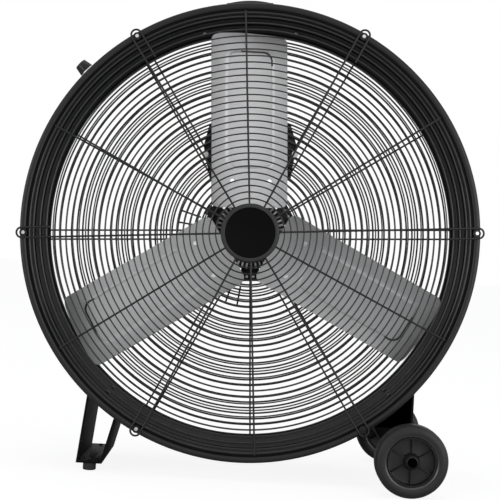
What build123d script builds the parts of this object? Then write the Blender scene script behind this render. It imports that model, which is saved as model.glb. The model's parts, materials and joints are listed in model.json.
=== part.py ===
"""Drum fan: a steel drum on a fixed foot and two wheels, with wire guards and three paddle blades.

Frame: the origin is on the floor under the middle of the drum, +Z is up, and the air leaves
towards -Y. The fan axis is parallel to Y at axis_height.
"""
from build123d import *
from math import asin, atan2, cos, degrees, radians, sin, sqrt, tan
import os

os.makedirs("parts", exist_ok=True)

# ---------------------------------------------------------------- driving dimensions (mm)
drum_turn = 3.1            # how far drum, guards, handle and knob are turned about the axis (deg)

# drum
lip_radius = 320.0
floor_gap = 26.0           # under the drum's lip
lip_width = 12.0           # from the sheet's bore to the lip's edge
drum_sheet = 1.6
drum_depth = 190.0
lip_depth = 12.0
lip_chamfer = 1.8
front_bead = 47.0          # distances of the swaged beads from the drum's front
middle_bead = 97.0
rear_bead = 165.0
bead_sink = 2.2            # the beads are rolled inwards
bead_width = 12.0

# wire guards
ring_wire = 2.0
spoke_wire = 2.8
ring_sides = 24            # each ring is drawn with straight runs between and across the spokes
front_ring_radius = 47.9   # innermost ring
front_ring_count = 29      # evenly spaced, with one more at the rim
front_ring_margin = 7.54   # from the drum's bore to the last of the even rings
rim_ring_margin = 3.4
rear_ring_radius = 52.0
rear_ring_count = 30
rear_ring_margin = 5.44
spoke_count = 12
front_spoke_turn = 1.15    # the front guard is fitted slightly turned (deg)
front_spoke_inner = 30.0   # the spokes run in under the badge
rear_spoke_inner = 51.0
loop_overhang = 5.4        # how far the loops stand out past the lip
hairpin_gap = 14.0         # between the centres of a hairpin's legs
short_leg_margin = 30.5    # from the drum's bore to the end of the front hairpins' return legs
single_spoke_lap = 0.5     # how far the single spokes lie on the lip
stay_inner = 81.0
stay_outer = 114.0
stay_angles = (160.5, 170.0, 250.0, 259.5)
guard_screw_inset = 5.1    # from the lip's edge
guard_screw_head = 2.8     # corner radius of the hexagon head
guard_screw_head_height = 2.4
guard_washer_height = 0.8
guard_screw_shank = 1.5
guard_screw_length = 9.0

# badge at the middle of the front guard
badge_radius = 40.8
badge_face_radius = 35.1
badge_depth = 6.0
badge_face_recess = 1.6

# blades
tip_clearance = 15.0       # between the blades and the drum
blade_root = 38.0
blade_width = 109.5        # as seen from the front
blade_pitch = 18.0
blade_chord = 117.0
blade_camber = 9.0
blade_sheet = 2.0
blade_tip_corner = 14.0
blade_root_corner = 10.5
blade_stand_off = 32.0     # from the motor's shell to the middle of the blades' hub
blade_angles = {"blade_top": 90.0, "blade_left": 210.0, "blade_right": 330.0}
panel_start = 96.0
panel_tip_margin = 29.0
panel_width = 70.0
panel_corner = 16.0
panel_rise = 1.6
rivet_along = 76.6
rivet_across = 28.6
rivet_shank = 2.2
rivet_head = 3.8
rivet_head_height = 1.7
rivet_taper = 30.0
hole_clearance = 0.1

# blade hub
hub_radius = 22.0
hub_half_length = 17.0
arm_start = 12.0
arm_reach = 92.0
arm_width = 78.0
arm_neck = 52.0            # width beside the hub
arm_neck_end = 42.0
arm_flare_end = 60.0
arm_root_corner = 6.0
arm_sheet = 3.0
arm_corner = 12.0
hub_nut_flats = 19.0
hub_nut_height = 9.0

# motor
shaft_radius = 6.0
shaft_overrun = 3.0        # how far the shaft stands out of the hub nut
shaft_hole_clearance = 1.0
running_clearance = 0.05
motor_length = 68.0        # of the finned shell
motor_radius = 46.0
motor_wall = 3.5
motor_end_wall = 4.0
fin_count = 36
fin_height = 7.5
fin_thickness = 2.2
cap_depth = 13.0
cap_chamfer = 5.0
bearing_radius = 14.0
bearing_width = 9.0
bearing_boss_wall = 4.0
air_gap = 0.6
rotor_radius = 28.0
rotor_length = 38.0
rotor_setback = 28.0       # from the shell's front to the middle of the rotor
stator_length = 38.0

# motor mount, a three-armed plate bolted to the rear guard
mount_sheet = 3.0
mount_disc_radius = 44.0
mount_arm_width = 28.0
mount_arm_end = 7.0        # from the bolts' middle to the arm's end
mount_flange_start = 56.0
mount_flange_height = 12.0
mount_angles = (30.0, 150.0, 270.0)
mount_bolt_ring = 2        # the bolts clamp the rear guard just outside its second ring
mount_bolt_offset = 5.0
mount_bolt_shank = 2.0
mount_bolt_head = 3.8      # corner radius of the hexagon head
mount_bolt_head_height = 2.8
mount_washer = 4.6
mount_washer_height = 1.0
motor_bolt_radius = 35.0
motor_bolt_shank = 2.5
motor_bolt_head = 4.6
motor_bolt_head_height = 3.0

# wiring box on the rear guard
wiring_width = 144.6
wiring_end_width = 126.0
wiring_height = 84.3
wiring_corner_above = 8.8  # the side corners lie above the middle of the box
wiring_base_sheet = 2.0
wiring_cover_inset = 9.0
wiring_cover_depth = 26.0
wiring_cover_wall = 2.5
wiring_screw_ring = 11     # the screws pass just outside this ring of the rear guard
wiring_screw_across = 69.5
wiring_screw_below = 4.6   # below the middle of the box
wiring_ear = 4.8
wiring_washer = 5.0
wiring_washer_height = 0.8
wiring_screw_shank = 2.0
wiring_screw_head = 3.2
wiring_screw_head_height = 2.2

# switch box and speed knob
switch_angle = 135.0
switch_box_width = 62.0
switch_box_length = 84.0
switch_box_rise = 11.0     # of the lid's outer face over the drum's lip
switch_box_wall = 2.2
switch_lid_sheet = 2.0
knob_gap = 0.8
knob_base_radius = 11.0
knob_skirt = 9.5
knob_top_radius = 8.8
knob_height = 20.7
knob_flutes = 12
knob_flute_radius = 1.3
spindle_radius = 3.0
spindle_in_knob = 14.0
collar_radius = 5.0
switch_body_size = 26.0
switch_body_height = 12.0
gland_radius = 8.0
gland_length = 14.0
gland_shank = 6.0
gland_bore = 3.6

# carrying handle
handle_angle = 90.0
handle_y = 24.0            # behind mid depth, clear of the middle bead
handle_rise = 24.5         # of the grip's outer face over the drum's lip
handle_strap = 3.0
handle_strap_width = 22.0
handle_half_grip = 42.0
handle_half_foot = 58.0
handle_toe = 22.0
grip_thickness = 10.0
grip_width = 30.0
grip_half_length = 34.0
grip_round = 4.0

# foot bracket, a folded strap under the left of the drum
strap = 3.0
bracket_depth = 148.0
foot_plate_z = 10.7        # underside of the foot plate
foot_inset = 92.6          # from the side of the drum's lip to the outer leg's foot
foot_width = 36.4
foot_left_lean = 6.5       # of each leg, from the vertical (deg)
foot_right_lean = 14.5
pad_radius = 9.2
pad_inset = 12.0           # from the strap's edge to the pad's middle
pad_screw_shank = 2.5
pad_screw_head = 5.0
pad_screw_head_height = 2.5
pad_recess = 3.0           # the screw's head stops this far above the floor
pad_screw_overrun = 2.0

# wheel bracket and wheels on the right
axle_inset = 86.0          # from the side of the drum's lip
wheel_radius = 49.5
wheel_width = 30.0
spacer_length = 47.7       # between the bracket and each wheel, less its side clearance
tyre_inner_radius = 33.0
tyre_shoulder = 5.0
wheel_hub_radius = 10.8
wheel_web = 5.0
wheel_rim = 3.0
wheel_rim_inset = 2.0
wheel_rib_count = 6
wheel_rib = 2.4
wheel_rib_inset = 3.0
wheel_rib_turn = 30.0
axle_radius = 5.0
side_clearance = 0.3
axle_cap_radius = 6.6
axle_cap_height = 2.5
axle_cap_pocket = 1.5
spacer_radius = 8.0
upright_reach = 9.0        # from the axle to the outer face of the upright leg
wheel_bracket_drop = 12.5  # from the axle to the bracket's underside
wheel_bracket_back = 16.8  # from the axle to the foot of the slanting leg
wheel_leg_lean = 31.5      # of the slanting leg, from the vertical (deg)
gusset_sheet = 3.0
front_gusset_height = 46.0

# bolts that hold the handle and the brackets to the drum wall
wall_bolt_shank = 3.0
wall_bolt_head = 6.0       # corner radius of the hexagon head
wall_bolt_head_height = 4.0
wall_bolt_overrun = 2.0    # how far the bolts stand into the drum
bracket_bolt_y = 30.0      # the brackets' bolts lie this far before and behind mid depth

# ---------------------------------------------------------------- derived values
axis_height = lip_radius + floor_gap
drum_bore = lip_radius - lip_width
drum_outer = drum_bore + drum_sheet
front_y = -drum_depth / 2
rear_y = drum_depth / 2
fan_axis = Axis((0, 0, axis_height), (0, 1, 0))
loop_radius = hairpin_gap / 2
loop_middle = lip_radius + loop_overhang - loop_radius - spoke_wire / 2
guard_screw_radius = lip_radius - guard_screw_inset
guard_washer = loop_radius - spoke_wire / 2 - hole_clearance
loop_count = spoke_count // 2
spoke_step = 360 / spoke_count
loop_turn = front_spoke_turn - degrees(asin(loop_radius / guard_screw_radius))
motor_rear_y = rear_y - ring_wire - mount_sheet
motor_front_y = motor_rear_y - motor_length
blade_mid_y = motor_front_y - blade_stand_off
blade_tip_radius = drum_bore - tip_clearance
panel_end = blade_tip_radius - panel_tip_margin
hub_front_y = blade_mid_y - hub_half_length
shaft_front_y = hub_front_y - hub_nut_height - shaft_overrun
shaft_rear_y = motor_rear_y - motor_end_wall - side_clearance
wheel_x = lip_radius - axle_inset
wheel_z = wheel_radius
wheel_mid_y = bracket_depth / 2 + spacer_length + side_clearance + wheel_width / 2
upright_x = wheel_x + upright_reach
wheel_bracket_left = wheel_x - wheel_bracket_back
wheel_bracket_bottom = wheel_radius - wheel_bracket_drop
foot_left_x = foot_inset - lip_radius
foot_right_x = foot_left_x + foot_width
pad_x = (foot_left_x + foot_right_x) / 2
pad_y = bracket_depth / 2 - pad_inset
foot_slopes = (tan(radians(foot_left_lean)), tan(radians(foot_right_lean)))
wheel_slopes = (-tan(radians(wheel_leg_lean)), 0)


def wall_angle(foot_x, foot_z, slope):
    """Angle about the fan axis at which a leg that starts at its foot meets the drum wall."""
    below = foot_z - axis_height
    along = slope * foot_x + below
    spare = foot_x**2 + below**2 - drum_outer**2
    rise = (-along - sqrt(along**2 - (slope**2 + 1) * spare)) / (slope**2 + 1)
    return degrees(atan2(below + rise, foot_x + slope * rise))


def saddle_bolts(left_x, right_x, bottom_z, slopes):
    """Angle and depth of a bracket's two bolts, midway between its legs."""
    angle = (wall_angle(left_x, bottom_z, slopes[0]) + wall_angle(right_x, bottom_z, slopes[1])) / 2
    return [(angle, y) for y in (-bracket_bolt_y, bracket_bolt_y)]


def ring_radii(first, last, count):
    """Radii of a guard's evenly spaced rings."""
    pitch = (last - first) / (count - 1)
    return [first + pitch * i for i in range(count)]


def gap_outside(ring_number):
    """Radius of the gap just outside a ring of the rear guard."""
    return (rear_radii[ring_number - 1] + rear_radii[ring_number]) / 2


front_radii = ring_radii(front_ring_radius, drum_bore - front_ring_margin, front_ring_count)
front_radii.append(drum_bore - rim_ring_margin)
rear_radii = ring_radii(rear_ring_radius, drum_bore - rear_ring_margin, rear_ring_count)
mount_bolt_radius = gap_outside(mount_bolt_ring)
mount_arm_reach = mount_bolt_radius + mount_arm_end
wiring_screw_lift = sqrt(gap_outside(wiring_screw_ring) ** 2 - wiring_screw_across**2)
wiring_lift = wiring_screw_lift + wiring_screw_below
toe_angle = degrees(asin((handle_half_foot + handle_toe / 2) / drum_outer))
handle_bolts_at = [(handle_angle + drum_turn + side * toe_angle, handle_y) for side in (-1, 1)]
foot_bolts_at = saddle_bolts(foot_left_x, foot_right_x, foot_plate_z, foot_slopes)
wheel_bolts_at = saddle_bolts(wheel_bracket_left, upright_x, wheel_bracket_bottom, wheel_slopes)


def face_plane(y, turn=0.0):
    """Plane at depth y with its origin on the fan axis, seen from the front, x to the right."""
    return Plane(
        origin=(0, y, axis_height),
        x_dir=(cos(radians(turn)), 0, sin(radians(turn))),
        z_dir=(0, -1, 0),
    )


def seat_plane(angle, radius, y=0.0):
    """Plane that looks outwards from the fan axis at an angle, x around the drum, y to the back."""
    a = radians(angle)
    return Plane(
        origin=(radius * cos(a), y, axis_height + radius * sin(a)),
        x_dir=(sin(a), 0, -cos(a)),
        z_dir=(cos(a), 0, sin(a)),
    )


def save(piece, name):
    """Label a finished piece and write it as its own STEP file."""
    piece.label = name
    export_step(piece, f"parts/{name}.step")


# ---------------------------------------------------------------- drum shell
def drum_side(sheet_radius, start):
    """Points along one skin of the drum wall, with its V beads, from front to back."""
    points = [(sheet_radius, -start)]
    for setback in (front_bead, middle_bead, rear_bead):
        middle = front_y + setback
        points += [
            (sheet_radius, middle - bead_width / 2),
            (sheet_radius - bead_sink, middle),
            (sheet_radius, middle + bead_width / 2),
        ]
    return points + [(sheet_radius, start)]


lip_back = rear_y - lip_depth
with BuildPart() as drum_shell:
    with BuildSketch(Plane.XY.offset(axis_height)):
        with BuildLine():
            front_lip = [
                (drum_bore, front_y),
                (lip_radius - lip_chamfer, front_y),
                (lip_radius, front_y + lip_chamfer),
                (lip_radius, front_y + lip_depth - lip_chamfer),
            ]
            rear_lip = [(radius, -y) for radius, y in reversed(front_lip)]
            inner_skin = list(reversed(drum_side(drum_bore, rear_y)))[1:-1]
            Polyline(*front_lip, *drum_side(drum_outer, lip_back), *rear_lip, *inner_skin, close=True)
        make_face()
    revolve(axis=fan_axis)
    for end_y, turn, depth in ((front_y, loop_turn, -guard_screw_length), (rear_y, 0, guard_screw_length)):
        with BuildSketch(face_plane(end_y, drum_turn + turn)):
            with PolarLocations(guard_screw_radius, loop_count):
                Circle(guard_screw_shank + hole_clearance)
        extrude(amount=depth, mode=Mode.SUBTRACT)
    for angle, y in handle_bolts_at + foot_bolts_at + wheel_bolts_at:
        with BuildSketch(seat_plane(angle, drum_bore - wall_bolt_overrun, y)):
            Circle(wall_bolt_shank + hole_clearance)
        extrude(amount=2 * wall_bolt_overrun + drum_sheet, mode=Mode.SUBTRACT)
save(drum_shell.part, "drum_shell")


# ---------------------------------------------------------------- wire guards
def ring(radius, turn):
    """One wire ring as a many-sided hoop, with corners where the spokes cross it."""
    with BuildSketch() as hoop:
        RegularPolygon(radius + ring_wire / 2, ring_sides, rotation=turn)
        RegularPolygon(radius - ring_wire / 2, ring_sides, rotation=turn, mode=Mode.SUBTRACT)
    return hoop.sketch


with BuildPart() as front_guard_rings:
    with BuildSketch(face_plane(front_y + ring_wire, drum_turn)):
        add([ring(radius, front_spoke_turn) for radius in front_radii])
    extrude(amount=ring_wire)
save(front_guard_rings.part, "front_guard_rings")

with BuildPart() as rear_guard_rings:
    with BuildSketch(face_plane(rear_y, drum_turn)):
        add([ring(radius, 0) for radius in rear_radii])
    extrude(amount=ring_wire)
save(rear_guard_rings.part, "rear_guard_rings")


def hairpin(start, end, shift):
    """A wire that runs out from start, turns over the lip and comes back in to end."""
    with BuildSketch() as wire:
        with BuildLine():
            Line((start, shift), (loop_middle, shift))
            ThreePointArc(
                (loop_middle, shift),
                (loop_middle + loop_radius, shift - loop_radius),
                (loop_middle, shift - hairpin_gap),
            )
            Line((loop_middle, shift - hairpin_gap), (end, shift - hairpin_gap))
        trace(line_width=spoke_wire)
    return wire.sketch


def radial_wire(start, end):
    """A straight wire along a radius."""
    with BuildSketch() as wire:
        with Locations(((start + end) / 2, 0)):
            Rectangle(end - start, spoke_wire)
    return wire.sketch


with BuildPart() as front_guard_spokes:
    with BuildSketch(face_plane(front_y, drum_turn + front_spoke_turn)):
        with PolarLocations(0, loop_count):
            add(hairpin(front_spoke_inner, drum_bore - short_leg_margin, 0))
        with PolarLocations(0, loop_count, start_angle=spoke_step):
            add(radial_wire(front_spoke_inner, drum_bore + single_spoke_lap))
    extrude(amount=spoke_wire)
save(front_guard_spokes.part, "front_guard_spokes")

with BuildPart() as rear_guard_spokes:
    with BuildSketch(face_plane(rear_y + spoke_wire, drum_turn)):
        with PolarLocations(0, loop_count):
            add(hairpin(rear_spoke_inner, rear_spoke_inner, loop_radius))
        with PolarLocations(0, loop_count, start_angle=spoke_step):
            add(radial_wire(rear_spoke_inner, drum_bore + single_spoke_lap))
        for stay_angle in stay_angles:
            with PolarLocations(0, 1, start_angle=stay_angle):
                add(radial_wire(stay_inner, stay_outer))
    extrude(amount=spoke_wire)
save(rear_guard_spokes.part, "rear_guard_spokes")


def guard_screws(y, turn, outwards):
    """One guard's screws with their washers, which lie on the drum's lip in the loops."""
    with BuildPart() as screws:
        with BuildSketch(face_plane(y, drum_turn + turn)):
            with PolarLocations(guard_screw_radius, loop_count):
                Circle(guard_washer)
        extrude(amount=outwards * guard_washer_height)
        with BuildSketch(face_plane(y, drum_turn + turn)):
            with PolarLocations(guard_screw_radius, loop_count):
                RegularPolygon(guard_screw_head, 6)
        extrude(amount=outwards * (guard_washer_height + guard_screw_head_height))
        with BuildSketch(face_plane(y, drum_turn + turn)):
            with PolarLocations(guard_screw_radius, loop_count):
                Circle(guard_screw_shank)
        extrude(amount=-outwards * (guard_screw_length - hole_clearance))
    return screws.part


save(guard_screws(front_y, loop_turn, 1), "front_guard_screws")
save(guard_screws(rear_y, 0, -1), "rear_guard_screws")

# ---------------------------------------------------------------- badge
badge_back_y = front_y - spoke_wire
with BuildPart() as badge:
    with BuildSketch(face_plane(badge_back_y)):
        Circle(badge_radius)
    extrude(amount=badge_depth)
    chamfer(badge.edges().sort_by(Axis.Y)[0], badge_face_recess)
    with BuildSketch(face_plane(badge_back_y - badge_depth)):
        Circle(badge_face_radius)
    extrude(amount=-badge_face_recess, mode=Mode.SUBTRACT)
save(badge.part, "badge")

# ---------------------------------------------------------------- blades and their hub
camber_radius = (blade_chord**2 / 4 + blade_camber**2) / (2 * blade_camber)
rivet_turn = degrees(asin(rivet_across / camber_radius))


def blade_plane(angle):
    """Plane across a blade at the fan axis: x along its chord, y to the front, z out to its tip."""
    a = radians(angle + drum_turn)
    pitch = radians(blade_pitch)
    return Plane(
        origin=(0, blade_mid_y, axis_height),
        x_dir=(-sin(a) * cos(pitch), -sin(pitch), cos(a) * cos(pitch)),
        z_dir=(cos(a), 0, sin(a)),
    )


def curved_strip(angle, chord, back, thickness, start, end):
    """A cambered sheet along a blade, its front skin lying a distance behind the camber circle."""
    half = degrees(asin(chord / 2 / camber_radius))
    with BuildPart() as strip:
        with BuildSketch(blade_plane(angle).offset(start)):
            with BuildLine():
                front_arc = CenterArc((0, camber_radius), camber_radius + back, -90 - half, 2 * half)
                back_arc = CenterArc(
                    (0, camber_radius), camber_radius + back + thickness, -90 - half, 2 * half
                )
                Line(front_arc @ 0, back_arc @ 0)
                Line(front_arc @ 1, back_arc @ 1)
            make_face()
        extrude(amount=end - start)
    return strip.part


def seen_outline(angle, half_outline, tip_corner, root_corner):
    """A prism along Y with the outline that a blade, panel or arm has from the front."""
    mirrored = [(along, -across) for along, across in reversed(half_outline)]
    with BuildPart() as prism:
        with BuildSketch(face_plane(blade_mid_y, angle + drum_turn)) as face:
            Polygon(*half_outline, *mirrored, align=None)
            Circle(blade_tip_radius, mode=Mode.INTERSECT)
            fillet(face.vertices().group_by(Axis.X)[-1], tip_corner)
            fillet(face.vertices().group_by(Axis.X)[0], root_corner)
        extrude(amount=blade_chord / 2, both=True)
    return prism.part


def rivet_plane(angle, side):
    """Plane at the camber circle's centre that looks out along a rivet, towards the back."""
    across = blade_plane(angle).offset(rivet_along)
    turn = radians(side * rivet_turn)
    return Plane(
        origin=across.from_local_coords((0, camber_radius, 0)),
        x_dir=across.z_dir,
        z_dir=across.x_dir * sin(turn) - across.y_dir * cos(turn),
    )


def rivet_holes(angle):
    """Pins where one blade's rivets go through the blade and its arm."""
    with BuildPart() as pins:
        for side in (-1, 1):
            with BuildSketch(rivet_plane(angle, side).offset(camber_radius - blade_sheet)):
                Circle(rivet_shank + hole_clearance)
            extrude(amount=2 * blade_sheet + 2 * arm_sheet)
    return pins.part


blade_half = [(blade_root, blade_width / 2), (blade_tip_radius, blade_width / 2)]
panel_half = [(panel_start, panel_width / 2), (panel_end, panel_width / 2)]
arm_half = [
    (arm_start, arm_neck / 2),
    (arm_neck_end, arm_neck / 2),
    (arm_flare_end, arm_width / 2),
    (arm_reach, arm_width / 2),
]
for blade_name, blade_angle in blade_angles.items():
    sheet = curved_strip(blade_angle, blade_chord, 0, blade_sheet, blade_root, blade_tip_radius)
    raised = curved_strip(
        blade_angle, blade_chord, -panel_rise, blade_sheet, blade_root, blade_tip_radius
    )
    blank = seen_outline(blade_angle, blade_half, blade_tip_corner, blade_root_corner)
    panel = seen_outline(blade_angle, panel_half, panel_corner, panel_corner)
    with BuildPart() as blade:
        add((sheet & blank) - panel)
        add(raised & panel)
        add(rivet_holes(blade_angle), mode=Mode.SUBTRACT)
    save(blade.part, blade_name)

arms = [
    curved_strip(angle, blade_chord, blade_sheet + hole_clearance, arm_sheet, arm_start, arm_reach)
    & seen_outline(angle, arm_half, arm_corner, arm_root_corner)
    for angle in blade_angles.values()
]
with BuildPart() as blade_hub:
    add(arms)
    for blade_angle in blade_angles.values():
        add(rivet_holes(blade_angle), mode=Mode.SUBTRACT)
    with BuildSketch(face_plane(blade_mid_y)):
        Circle(hub_radius)
    extrude(amount=hub_half_length, both=True)
    with BuildSketch(face_plane(blade_mid_y)):
        Circle(shaft_radius + hole_clearance)
    extrude(amount=hub_half_length, both=True, mode=Mode.SUBTRACT)
save(blade_hub.part, "blade_hub")

with BuildPart() as blade_rivets:
    for blade_angle in blade_angles.values():
        for side in (-1, 1):
            front_head = rivet_plane(blade_angle, side).offset(camber_radius - hole_clearance)
            back_head = front_head.offset(blade_sheet + arm_sheet + 3 * hole_clearance)
            with BuildSketch(front_head):
                Circle(rivet_head)
            extrude(amount=-rivet_head_height, taper=rivet_taper)
            with BuildSketch(back_head):
                Circle(rivet_head)
            extrude(amount=rivet_head_height, taper=rivet_taper)
            with BuildSketch(front_head):
                Circle(rivet_shank)
            extrude(until=Until.NEXT)
save(blade_rivets.part, "blade_rivets")

with BuildPart() as hub_nut:
    with BuildSketch(face_plane(hub_front_y, drum_turn)):
        RegularPolygon(hub_nut_flats / 2, 6, major_radius=False)
        Circle(shaft_radius + hole_clearance, mode=Mode.SUBTRACT)
    extrude(amount=hub_nut_height)
save(hub_nut.part, "hub_nut")

# ---------------------------------------------------------------- motor
cavity_radius = motor_radius - motor_wall
cavity_end_y = motor_rear_y - motor_end_wall
rotor_mid_y = motor_front_y + rotor_setback
bearing_bore = shaft_radius + running_clearance

with BuildPart() as motor_shaft:
    with BuildSketch(face_plane(shaft_rear_y)):
        Circle(shaft_radius)
    extrude(amount=shaft_rear_y - shaft_front_y)
save(motor_shaft.part, "motor_shaft")

with BuildPart() as motor_shell:
    with BuildSketch(face_plane(motor_rear_y)):
        Circle(motor_radius)
        with PolarLocations(motor_radius + fin_height / 2 - motor_wall / 2, fin_count):
            Rectangle(fin_height + motor_wall, fin_thickness)
    extrude(amount=motor_rear_y - motor_front_y)
    with BuildSketch(face_plane(cavity_end_y)):
        Circle(cavity_radius)
    extrude(amount=cavity_end_y - motor_front_y, mode=Mode.SUBTRACT)
    with BuildSketch(face_plane(cavity_end_y)):
        Circle(bearing_radius + hole_clearance + bearing_boss_wall)
        Circle(bearing_radius + hole_clearance, mode=Mode.SUBTRACT)
    extrude(amount=bearing_width)
    with BuildSketch(face_plane(motor_rear_y)):
        with PolarLocations(motor_bolt_radius, len(mount_angles)):
            Circle(motor_bolt_shank + hole_clearance)
    extrude(amount=motor_end_wall, mode=Mode.SUBTRACT)
save(motor_shell.part, "motor_shell")

with BuildPart() as motor_front_cap:
    with BuildSketch(face_plane(motor_front_y)):
        Circle(motor_radius)
    extrude(amount=cap_depth)
    chamfer(motor_front_cap.edges().sort_by(Axis.Y)[0], cap_chamfer)
    with BuildSketch(face_plane(motor_front_y)):
        Circle(bearing_radius + hole_clearance)
    extrude(amount=bearing_width, mode=Mode.SUBTRACT)
    with BuildSketch(face_plane(motor_front_y)):
        Circle(shaft_radius + shaft_hole_clearance)
    extrude(amount=cap_depth, mode=Mode.SUBTRACT)
save(motor_front_cap.part, "motor_front_cap")

with BuildPart() as shaft_bearings:
    for bearing_back_y in (motor_front_y, cavity_end_y):
        with BuildSketch(face_plane(bearing_back_y)):
            Circle(bearing_radius)
            Circle(bearing_bore, mode=Mode.SUBTRACT)
        extrude(amount=bearing_width)
save(shaft_bearings.part, "shaft_bearings")

with BuildPart() as motor_rotor:
    with BuildSketch(face_plane(rotor_mid_y)):
        Circle(rotor_radius)
        Circle(shaft_radius + hole_clearance, mode=Mode.SUBTRACT)
    extrude(amount=rotor_length / 2, both=True)
save(motor_rotor.part, "motor_rotor")

with BuildPart() as motor_stator:
    with BuildSketch(face_plane(rotor_mid_y)):
        Circle(cavity_radius - hole_clearance)
        Circle(rotor_radius + air_gap, mode=Mode.SUBTRACT)
    extrude(amount=stator_length / 2, both=True)
save(motor_stator.part, "motor_stator")

with BuildPart() as motor_mount:
    with BuildSketch(face_plane(rear_y - ring_wire, drum_turn)):
        Circle(mount_disc_radius)
        for mount_angle in mount_angles:
            with PolarLocations(mount_arm_reach / 2, 1, start_angle=mount_angle):
                Rectangle(mount_arm_reach, mount_arm_width)
            with PolarLocations(mount_bolt_radius, 1, start_angle=mount_angle):
                with Locations((0, -mount_bolt_offset), (0, mount_bolt_offset)):
                    Circle(mount_bolt_shank + hole_clearance, mode=Mode.SUBTRACT)
        with PolarLocations(motor_bolt_radius, len(mount_angles), start_angle=-drum_turn):
            Circle(motor_bolt_shank + hole_clearance, mode=Mode.SUBTRACT)
    extrude(amount=mount_sheet)
    with BuildSketch(face_plane(rear_y - ring_wire, drum_turn)):
        for mount_angle in mount_angles:
            with PolarLocations((mount_flange_start + mount_arm_reach) / 2, 1, start_angle=mount_angle):
                with Locations(
                    (0, (mount_sheet - mount_arm_width) / 2), (0, (mount_arm_width - mount_sheet) / 2)
                ):
                    Rectangle(mount_arm_reach - mount_flange_start, mount_sheet)
    extrude(amount=mount_flange_height + mount_sheet)
save(motor_mount.part, "motor_mount")

with BuildPart() as mount_bolts:
    for radius, back_y, length in (
        (mount_washer, rear_y + spoke_wire + mount_washer_height, mount_washer_height),
        (
            mount_bolt_shank,
            rear_y + spoke_wire + mount_washer_height,
            mount_washer_height + spoke_wire + ring_wire + mount_sheet,
        ),
    ):
        with BuildSketch(face_plane(back_y, drum_turn)):
            for mount_angle in mount_angles:
                with PolarLocations(mount_bolt_radius, 1, start_angle=mount_angle):
                    with Locations((0, -mount_bolt_offset), (0, mount_bolt_offset)):
                        Circle(radius)
        extrude(amount=length)
    with BuildSketch(face_plane(rear_y + spoke_wire + mount_washer_height, drum_turn)):
        for mount_angle in mount_angles:
            with PolarLocations(mount_bolt_radius, 1, start_angle=mount_angle):
                with Locations((0, -mount_bolt_offset), (0, mount_bolt_offset)):
                    RegularPolygon(mount_bolt_head, 6)
    extrude(amount=-mount_bolt_head_height)
save(mount_bolts.part, "mount_bolts")

with BuildPart() as motor_bolts:
    with BuildSketch(face_plane(rear_y - ring_wire)):
        with PolarLocations(motor_bolt_radius, len(mount_angles)):
            Circle(motor_bolt_shank)
    extrude(amount=mount_sheet + motor_end_wall)
    with BuildSketch(face_plane(rear_y - ring_wire)):
        with PolarLocations(motor_bolt_radius, len(mount_angles)):
            RegularPolygon(motor_bolt_head, 6)
    extrude(amount=-motor_bolt_head_height)
save(motor_bolts.part, "motor_bolts")

# ---------------------------------------------------------------- wiring box on the rear guard
wiring_back_y = rear_y + spoke_wire + wiring_base_sheet


def wiring_outline(inset):
    """The wiring box's six-sided outline, drawn in by an inset."""
    with BuildSketch() as face:
        with Locations((0, wiring_lift)):
            Polygon(
                (wiring_width / 2, wiring_corner_above),
                (wiring_end_width / 2, wiring_height / 2),
                (-wiring_end_width / 2, wiring_height / 2),
                (-wiring_width / 2, wiring_corner_above),
                (-wiring_end_width / 2, -wiring_height / 2),
                (wiring_end_width / 2, -wiring_height / 2),
                align=None,
            )
        if inset:
            offset(amount=-inset, kind=Kind.INTERSECTION, mode=Mode.REPLACE)
    return face.sketch


wiring_screw_places = [(side * wiring_screw_across, wiring_screw_lift) for side in (-1, 1)]
with BuildPart() as wiring_base:
    with BuildSketch(face_plane(wiring_back_y, drum_turn)):
        add(wiring_outline(0))
        with Locations(*wiring_screw_places):
            Circle(wiring_ear)
            Circle(wiring_screw_shank + hole_clearance, mode=Mode.SUBTRACT)
    extrude(amount=wiring_base_sheet)
save(wiring_base.part, "wiring_base")

with BuildPart() as wiring_cover:
    with BuildSketch(face_plane(wiring_back_y, drum_turn)):
        add(wiring_outline(wiring_cover_inset))
    extrude(amount=-wiring_cover_depth)
    with BuildSketch(face_plane(wiring_back_y, drum_turn)):
        add(wiring_outline(wiring_cover_inset + wiring_cover_wall))
    extrude(amount=wiring_cover_wall - wiring_cover_depth, mode=Mode.SUBTRACT)
save(wiring_cover.part, "wiring_cover")

with BuildPart() as wiring_screws:
    with BuildSketch(face_plane(rear_y - ring_wire, drum_turn)):
        with Locations(*wiring_screw_places):
            Circle(wiring_washer)
    extrude(amount=wiring_washer_height)
    with BuildSketch(face_plane(rear_y - ring_wire, drum_turn)):
        with Locations(*wiring_screw_places):
            RegularPolygon(wiring_screw_head, 6)
    extrude(amount=wiring_washer_height + wiring_screw_head_height)
    with BuildSketch(face_plane(rear_y - ring_wire, drum_turn)):
        with Locations(*wiring_screw_places):
            Circle(wiring_screw_shank)
    extrude(amount=-(ring_wire + spoke_wire + wiring_base_sheet))
save(wiring_screws.part, "wiring_screws")

# ---------------------------------------------------------------- switch box and speed knob
switch_turn = switch_angle + drum_turn
switch_box_top = lip_radius + switch_box_rise
lid_under = switch_box_top - switch_lid_sheet
switch_body_under = lid_under - switch_body_height

gland_middle = seat_plane(switch_turn, (drum_outer + lid_under) / 2, switch_box_length / 2)
gland_plane = Plane(gland_middle.origin, x_dir=gland_middle.x_dir, z_dir=(0, 1, 0))
with BuildPart() as drum_body:
    with BuildSketch(face_plane(rear_y)):
        Circle(drum_outer)
    extrude(amount=drum_depth)

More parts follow.
